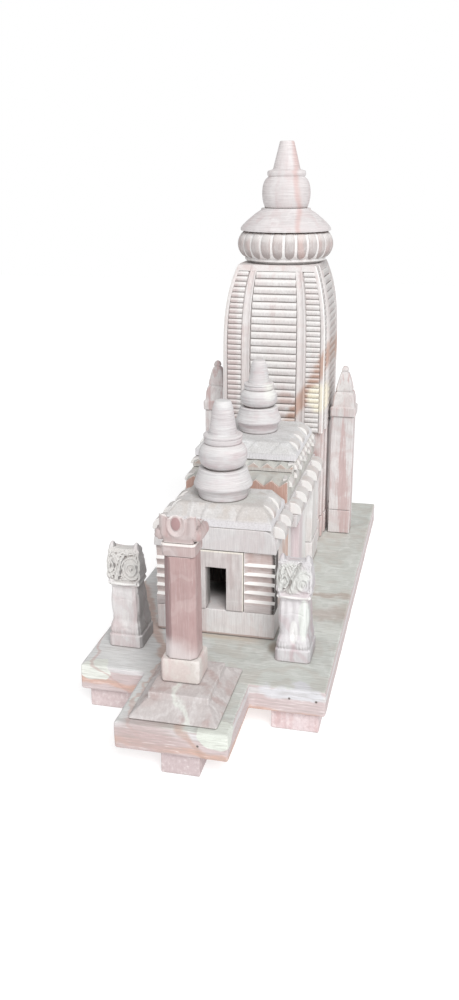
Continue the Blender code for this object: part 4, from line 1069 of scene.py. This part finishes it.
wall_stone = stone(
    "wall_stone", (0.76, 0.75, 0.745), (0.7, 0.62, 0.6), seed=53, streak_share=(0.55, 0.7), marks=(
        band((0, 1, 0), -20, 22, (0.6, 0.5, 0.52), core=0.3, wobble=16, share=0.8),
        band((0, 1, 0), 31, 24, (0.78, 0.82, 0.79), core=0.3, wobble=16, share=0.9),
        band((0, 1, 0), 72, 16, (0.6, 0.58, 0.56), core=0.2, wobble=14, share=0.6)))
for name, finish in (("middle_plinth", plinth_stone), ("middle_walls", wall_stone)):
    bed(name, finish, corners=bayed_sides(*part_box(name), 6.5 * MM, 2), step=4 * MM, seed=6)
MIDDLE_X = -3 * MM
low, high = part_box("middle_eave")
eave("middle", MIDDLE_X, 58.3 * MM, 50.5 * MM, low.y)
block_row("middle_eave", 49 * MM, 61.3 * MM, high.z - BLOCK_RISE + BED_GAP, high.z, 9 * MM, 5, low.y, high.y)


def tier_stone(seed, *marks):
    """The stone of one tier, with its own marks."""
    return stone(f"tier_stone_{seed}", (0.56, 0.56, 0.525), (0.5, 0.47, 0.43), seed=seed, swirl=0.5, dust_and_shade=1,
                 edge=1, marks=marks)


TERRACOTTA = (0.540, 0.315, 0.250)
lower_tier_stone = tier_stone(57, band((0, 1, 0), -42.4, 2.4, TERRACOTTA, core=0.6, wobble=1.2, share=0.9))
upper_tier_stone = tier_stone(61, band((0, 1, 0), -14.6, 1, TERRACOTTA, core=0.3, wobble=1.4, share=0.45),
                              band((0, 0, 1), 168.6, 2.2, (0.56, 0.53, 0.5), core=0.6, wobble=0.6))


def tier(node, pitch, drop, run, rows, round_off, material):
    """A stepped tier: a slab with folds that run in from its front, and rounded blocks along its sides."""
    low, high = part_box(node)
    half = (high.x - low.x) / 2 - 3.6 * MM
    left = MIDDLE_X - half

    def height_at(x, y):
        fade = max(0, 1 - (y - low.y) / run)
        valley = abs((x - left) / pitch % 1 - 0.5) * 2
        return high.z - drop * valley * fade ** 1.3 - 0.3 * MM * (1 - fade)

    x_places = places(left, MIDDLE_X + half, 1.2 * MM)
    y_places = places(low.y, low.y + run, 1.2 * MM) + places(low.y + run, high.y, 4 * MM)[1:]
    fit(relief_slab(node + "_slab", x_places, y_places, low.z, height_at, material), "pale_stone", node)
    top = high.z - 0.4 * MM
    block_row(node, half - 6 * MM, half + 3.5 * MM, top - round_off - 0.6 * MM, top, round_off, rows,
              low.y + 1 * MM, high.y)


tier("middle_tier_1", 14.8 * MM, 6.5 * MM, 24 * MM, 6, 7 * MM, lower_tier_stone)
tier("middle_tier_2", 13.2 * MM, 5.6 * MM, 15 * MM, 8, 5.5 * MM, upper_tier_stone)

peak_stone = stone(
    "peak_stone", (0.7, 0.695, 0.695), (0.6, 0.59, 0.58), seed=65, swirl=0.6, grit=0.5, speckle=0.4, edge=1,
    bump=0.5, marks=(
        band((0, 0, 1), 176, 7, (0.76, 0.745, 0.77), core=0.5, wobble=2, share=0.85),))


def peak(u, climb):
    """A pointed lobe, with the same measures as a round one."""
    return 1.5 * MM * between(climb, -1, 0.95 - 2.3 * max(0, u - 0.12), 0.10)


roof_low, roof_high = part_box("middle_roof")
fine_end = roof_low.y + 14 * MM
roof_y = places(roof_low.y, fine_end, 1 * MM) + places(fine_end, roof_high.y, 2 * MM)[1:]
roof_slab("middle_roof", places(roof_low.x, roof_high.x, 1.2 * MM), roof_y, 24.7 * MM, 9.7 * MM, peak,
          peak_stone)
block_row("middle_roof", 32 * MM, 49.3 * MM, roof_low.z + ROOF_EDGE, roof_high.z - 0.4 * MM, 8.5 * MM, 3,
          roof_low.y + 11 * MM, roof_high.y - 11 * MM)


# The tower. Bayed walls carry the curved spire: on each of its four sides a centre panel of wide rounded
# slats stands between two beaded fillets, and finer bands fill the corners. Slats and bands are cut in the
# solid stone.
QUARTER_TURNS = ((1, 0), (0, 1), (-1, 0), (0, -1))


def bayed(half, steps):
    """A square whose sides step out at the middle. A step is its share of the half side, and its depth."""
    side = [(-half, -half)]
    out = half
    for share, depth in steps:
        side += [(-half * share, -out), (-half * share, -out - depth)]
        out += depth
    side += [(-u, v) for u, v in reversed(side[1:])]
    return [(u * a - v * b, u * b + v * a) for a, b in QUARTER_TURNS for u, v in side]


TOWER = (1.5 * MM, 181.5 * MM)
tower_wall_stone = stone("tower_wall_stone", (0.69, 0.64, 0.63), (0.59, 0.44, 0.42), seed=69,
                         streak_share=(0.47, 0.62))
for name, half in (("tower_plinth", 51.4 * MM), ("tower_walls", 50.6 * MM)):
    outline = [(TOWER[0] + x, TOWER[1] + y) for x, y in bayed(half, ((0.74, 1.8 * MM), (0.44, 1.7 * MM)))]
    bed(name, tower_wall_stone, corners=outline, step=4 * MM, edge=0.6 * MM, seed=8)

SPIRE = (-0.5 * MM, 181.5 * MM)
SPIRE_HALF = 55 * MM
SPIRE_TAPER = 13.5 * MM
SPIRE_FOOT = 168.3 * MM
SPIRE_HEAD = 343 * MM
TAPER_START = 225 * MM
TAPER_RISE = SPIRE_HEAD - TAPER_START
TAPER_POWER = 3.8
SPIRE_PLAIN = SPIRE_HEAD - 6 * MM
PANEL_SHARE = 25.1 / 55
FILLET_SHARE = 34.3 / 55
SLATS = 22
SLAT_PITCH = (SPIRE_PLAIN - SPIRE_FOOT) / SLATS
BANDS = 31
BAND_PITCH = (SPIRE_PLAIN - SPIRE_FOOT) / BANDS
spire_rings = []
crown = [SPIRE_PLAIN + d * MM for d in (0.15, 1, 2.5, 4.4, 5.4, 5.85, 6)]
for height in places(SPIRE_FOOT, SPIRE_PLAIN, 3.4 * MM) + crown:
    over = max(0, (height - TAPER_START) / TAPER_RISE)
    corner = (SPIRE_HALF - SPIRE_TAPER * over ** TAPER_POWER) / MM
    panel, fillet, strip = corner * PANEL_SHARE, corner * FILLET_SHARE, corner - 4.3
    plain = height > SPIRE_PLAIN + 0.05 * MM
    side = [(-corner + 0.15, 1), (-corner + 0.55, 0.45), (-corner + 1.2, 0.12), (-corner + 2, 0),
            (-strip - 0.7, 0), (-strip, 0.3), (-strip + 0.3, 1.7), (-(strip + fillet) / 2, 1.9),
            (-fillet - 1.2, 1.8), (-fillet - 0.3, 0.4), (-fillet + 0.3, -1), (-fillet + 0.8, -1.45),
            (-fillet + 1.4, -1.4), (-fillet + 2, -0.9), (-fillet + 2.5, -0.5),
            ((-fillet - panel) / 2 + 0.2, -0.35), (-panel - 2.6, -0.5), (-panel - 2.1, -0.9),
            (-panel - 1.5, -1.5), (-panel - 0.9, -1.55), (-panel - 0.4, -1.1), (-panel - 0.1, -0.5),
            (-panel, 0.3)]
    side += [(-panel * k, 0.3) for k in (0.97, 0.75, 0.5, 0.25, 0)]
    side += [(-u, v) for u, v in reversed(side[:-1])]
    ring = []
    for a, b in QUARTER_TURNS:
        for u, v in side:
            if plain:
                v = -1 if abs(u) <= fillet - 0.2 else 0 if abs(u) < corner - 1 else v
            if height > SPIRE_HEAD - 0.05 * MM:
                v += 1.2
                u *= 0.975
            elif height > SPIRE_HEAD - 0.3 * MM:
                v += 0.4
                u *= 0.99
            x, y = u * a - (v - corner) * b, u * b + (v - corner) * a
            spot = wavering((SPIRE[0] + x * MM, SPIRE[1] + y * MM, height), 0.1 * MM, 3)
            spot.z = height
            ring.append(spot)
    spire_rings.append(ring)
spire_stone = stone(
    "spire_stone", (0.72, 0.685, 0.675), (0.66, 0.57, 0.555), seed=73, shade=0.25, dust_and_shade=0.6, edge=0.9,
    marks=(
        band((-0.88, 0, 0.47), 68.5, 8.5, (0.5, 0.29, 0.21), core=0.3, wobble=16, share=0.8),
        patch((50, 127, 206), 15, (0.88, 0.82, 0.66), stretch=(0.85, 0.25, 0.75), core=0.6, wobble=12,
              share=0.85)))
spire = lofted("spire_core", spire_rings, spire_stone)
spire.data.set_sharp_from_angle(angle=radians(50))
fit(spire, "pale_stone", "tower_spire")

slat_tree, given = new_tree("slat_courses", First="Float", Pitch="Float", Left="Float", Right="Float",
                            Length="Float", Inset="Float")
rise = given.output("First") + Wire.node(slat_tree, "GeometryNodeInputIndex") * given.output("Pitch")
climb = (rise - TAPER_START) / TAPER_RISE
over = climb.math("MAXIMUM", climb, 0)
half = SPIRE_HALF - SPIRE_TAPER * over ** TAPER_POWER
slope = over ** (TAPER_POWER - 1) * (-TAPER_POWER * SPIRE_TAPER / TAPER_RISE)
middle_share = (given.output("Left") + given.output("Right")) * 0.5
stretch = half * (given.output("Right") - given.output("Left")) / given.output("Length")
spot = Wire.node(slat_tree, "ShaderNodeCombineXYZ",
                 {"X": half * middle_share, "Y": given.output("Inset") - half, "Z": rise})
size = Wire.node(slat_tree, "ShaderNodeCombineXYZ", {"X": stretch, "Y": 1, "Z": 1})
lean = Wire.node(slat_tree, "ShaderNodeCombineXYZ", {"X": slope.math("ARCTANGENT", slope)})
tilt = Wire.node(slat_tree, "FunctionNodeEulerToRotation", {0: lean})
line = Wire.node(slat_tree, "GeometryNodeMeshLine", {"Count": given.output("Count"), "Offset": (0, 0, 0)})
line = Wire.node(slat_tree, "GeometryNodeSetPosition", {"Geometry": line, "Position": spot})
slats = Wire.node(slat_tree, "GeometryNodeInstanceOnPoints",
                  {"Points": line, "Instance": given.output("Geometry"), "Rotation": tilt, "Scale": size})
turned_copies(slat_tree, given, slats)


def rod(name, length, profile, stations, material):
    """A slat along X. Its profile lists (out, up), and a station its place from an end and its girth."""
    middle = (profile[0][1] + profile[-1][1]) / 2
    left = [(-length / 2 + place, girth) for place, girth in stations]
    right = [(-place, girth) for place, girth in reversed(left)]
    inner = [(x, 1.0) for x in places(left[-1][0], right[0][0], 5 * MM)[1:-1]]
    rings = []
    for x, girth in left + inner + right:
        ring = []
        for out, up in profile:
            ring.append(Vector((x, -out * girth * MM, (middle + (up - middle) * (0.35 + 0.65 * girth)) * MM)))
        rings.append(ring)
    return lofted(name, rings, material)


def slat_profile(pitch, out):
    """A slat's section, from its undercut foot over its belly to its rolled top."""
    shape = ((-1.2, 0.06), (0.3, 0.07), (0.6, 0.09), (0.78, 0.14), (0.88, 0.24), (0.95, 0.36), (1, 0.48),
             (0.98, 0.56), (0.9, 0.66), (0.78, 0.76), (0.62, 0.86), (0.42, 0.94), (0.15, 0.985), (-1.2, 1))
    return [(o * out, s * pitch / MM) for o, s in shape]


def courses(name, length, pitch, count, out, ends, left, right, inset):
    """Courses of slats up all four sides of the spire, between two shares of its half width."""
    stations = [(place * MM, girth) for place, girth in ends]
    slat = rod(name, length, slat_profile(pitch, out), stations, slat_stone)
    grown(slat, slat_tree, Count=count, First=SPIRE_FOOT, Pitch=pitch, Left=left, Right=right, Length=length,
          Inset=inset, Turns=4, Centre=(*SPIRE, 0.0), Stone=slat_stone)
    fit(slat, "pale_stone", "tower_spire")


slat_stone = stone(
    "slat_stone", (0.69, 0.665, 0.655), (0.62, 0.545, 0.535), seed=77, grain=(0.9, 0.9, 0.3), dust_and_shade=0.9,
    edge=0.9, shade=0.3, lit=0.5, marks=(
        band((1, 0, 0), 62, 7.2, (0.56, 0.47, 0.45), core=0.97, share=0.8),
        band((1, 0, 0), -58, 22, (0.52, 0.42, 0.41), core=0.7, share=0.8),
        band((-0.88, 0, 0.47), 68.5, 8.5, (0.43, 0.24, 0.17), core=0.3, wobble=16, share=0.85),
        patch((15, 126, 205), 11, (0.52, 0.36, 0.32), stretch=(0.8, 0.4, 1), core=0.4, wobble=12,
              share=0.7),
        patch((50, 127, 206), 15, (0.86, 0.8, 0.62), stretch=(0.85, 0.25, 0.75), core=0.6, wobble=12,
              share=0.9)))
courses("spire_slats", 51 * MM, SLAT_PITCH, SLATS, 2.3, ((0, 0.5), (0.15, 0.8), (0.6, 0.96), (1.4, 1)),
        -PANEL_SHARE * 0.975, PANEL_SHARE * 0.995, 0.3 * MM)
BAND_INNER = 0.622
BAND_OUTER = 0.918
for word, left, right in (("left", -BAND_OUTER, -BAND_INNER), ("right", BAND_INNER, BAND_OUTER)):
    courses("spire_bands_" + word, 13 * MM, BAND_PITCH, BANDS, 1.8,
            ((0, 0.25), (0.25, 0.62), (0.8, 0.88), (1.7, 1)), left, right, 1.9 * MM)

cushion_stone = stone(
    "cushion_stone", (0.54, 0.495, 0.485), (0.49, 0.4, 0.385), seed=81, dust_and_shade=1, edge=0.5, lit=0.4, marks=(
        # Painted shade: a dark band on the ribs' lower ends, where they turn down from the light.
        band((0, 0, 1), 350.5, 8, (0.34, 0.29, 0.28), core=0.2, wobble=2, share=0.75),
        band((0.97, -0.2, 0), -3, 4, (0.62, 0.42, 0.38), core=0.4, wobble=8, share=0.5)))
groove_stone = stone("groove_stone", (0.86, 0.845, 0.835), (0.78, 0.73, 0.72), seed=83, dust_and_shade=0.35, edge=0.6)
cushion_low, cushion_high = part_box("tower_cushion")
LIP = 43.2
RIB_FOOT = 5.8
RIB_RISE = (cushion_high.z - cushion_low.z) / MM - RIB_FOOT
core = [(37, 0), (37, 1.9), (38.5, 2.2), (42.6, 2.4), (43.4, 2.9), (43.5, 3.9), (43.3, 5.2), (42.8, RIB_FOOT)]
core += [(LIP + 6.8 * sin(pi * s) ** 0.6, RIB_FOOT + RIB_RISE * s)
         for s in (0.06, 0.15, 0.3, 0.5, 0.7, 0.85, 0.94)]
core += [(43.5, 32), (41.5, 32.2)]
fit(turned("cushion_core", TOWER, cushion_low.z, core, groove_stone), "pale_stone", "tower_cushion")
RIBS = 24
RIB_ROWS = 24
RIB_SIDES = 12
RIB_HALF = 5.3
RIB_REACH = 51.3
rings = []
for step in range(RIB_ROWS + 1):
    share = step / RIB_ROWS
    reach = LIP + 8.1 * sin(pi * max(0.001, min(0.999, share * 0.97 + 0.015))) ** 0.6
    wide = RIB_HALF * reach / RIB_REACH
    wide *= (1 - max(0, 0.16 - share) ** 2 / 0.0256) ** 0.5 * 0.9 + 0.1
    wide *= 1 - max(0, share - 0.9) * 1.5
    turns = [pi * i / RIB_SIDES for i in range(RIB_SIDES + 1)]
    section = [(-wide * cos(turn), reach - 3 * (1 - sin(turn) ** 0.5)) for turn in turns]
    section += [(wide * 0.8, reach - 6), (-wide * 0.8, reach - 6)]
    height = cushion_low.z + (RIB_FOOT + RIB_RISE * share) * MM
    rings.append([Vector((TOWER[0] + x * MM, TOWER[1] - out * MM, height)) for x, out in section])
ribs = lofted("cushion_ribs", rings, cushion_stone)
grown(ribs, rows_tree, Count=1, Step=(0.0, 0.0, 0.0), Turns=RIBS, Centre=(*TOWER, 0.0), Wander=0.0,
      Stone=cushion_stone)
fit(ribs, "pale_stone", "tower_cushion")

TOWER_BELL = ((43, 333.8), (48, 333.9), (48.3, 334.3), (48.3, 336.6), (47.6, 337.6), (44.6, 341),
              (40.6, 344.6), (36, 348.4), (31.5, 351.8), (28.6, 353.6), (27, 354.4), (26.4, 355.4),
              (26.2, 356.6))
TOWER_POT = ((22.5, 356.9), (23, 358.4), (24.6, 362.6), (25.6, 369), (25.6, 374), (24.8, 380),
             (22.6, 385.2), (19.8, 387.6), (19.2, 388.1), (19.6, 388.8), (20.3, 389.6), (20.5, 391.5),
             (20.2, 393.2), (19.2, 394.4), (15.2, 395.1), (14.2, 396.2), (13.7, 398.6), (7.8, 421.6),
             (7.4, 423), (6.6, 423.4))
top_stone = stone(
    "top_stone", (0.74, 0.7, 0.7), (0.67, 0.6, 0.6), seed=85, grain=ACROSS, grit=0.45, dust_and_shade=1, edge=0.7,
    marks=(
        band((1, 0, 0.14), 74.5, 4.2, (0.64, 0.41, 0.38), core=0.1, wobble=6, share=0.6),))
for name, shape in (("tower_bell", TOWER_BELL), ("tower_pot", TOWER_POT)):
    fit(turned(name + "_stone", TOWER, SLAB_TOP, shape, top_stone, rounds=2), "pale_stone", name)


# The slim shrines, one on each side of the tower. Each is a square pink-streaked shaft on a base block, and
# its cap curves in to a little squared spire with a round end.
SHRINE_HALF = 12.25
CAP_HALF = 13.85
CAP_SPREAD = ((1, 0), (1.45, 0.3), (1.55, 1.2), (1.55, 9), (1.3, 9.9), (0.2, 10.6), (-0.3, 11.4), (-1, 20),
              (-2, 24.5), (-2.9, 26.3), (-4.1, 26.9), (-4.1, 27.5), (-3.4, 28), (-3.6, 30.5), (-4.6, 35),
              (-6.2, 42), (-7.6, 46.4), (-9.2, 47.8), (-9.3, 48.4), (-8.6, 49), (-8.7, 50.6), (-9.4, 52.6),
              (-10.6, 53.8), (-11.2, 54.2))
CAP_LEVELS = [((SHRINE_HALF + spread) / CAP_HALF, rise) for spread, rise in CAP_SPREAD]
shrine_stone = stone("shrine_stone", (0.7, 0.675, 0.67), (0.56, 0.43, 0.42), seed=89,
                     streak_share=(0.46, 0.6), streak_scale=(0.16, 0.16, 0.008))
for side, word in ((-1, "left"), (1, "right")):
    for part in ("base", "shaft"):
        bed(f"shrine_{part}_{word}", shrine_stone, step=4 * MM, seed=side)
    node = "shrine_spire_" + word
    low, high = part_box(node)
    cap = stacked(node + "_stone", ((low.x + high.x) / 2, (low.y + high.y) / 2),
                  around(27.7 * MM, 27.7 * MM, 1.4 * MM, 2.5 * MM), CAP_LEVELS, shrine_stone, low.z)
    fit(cap, "pale_stone", node)
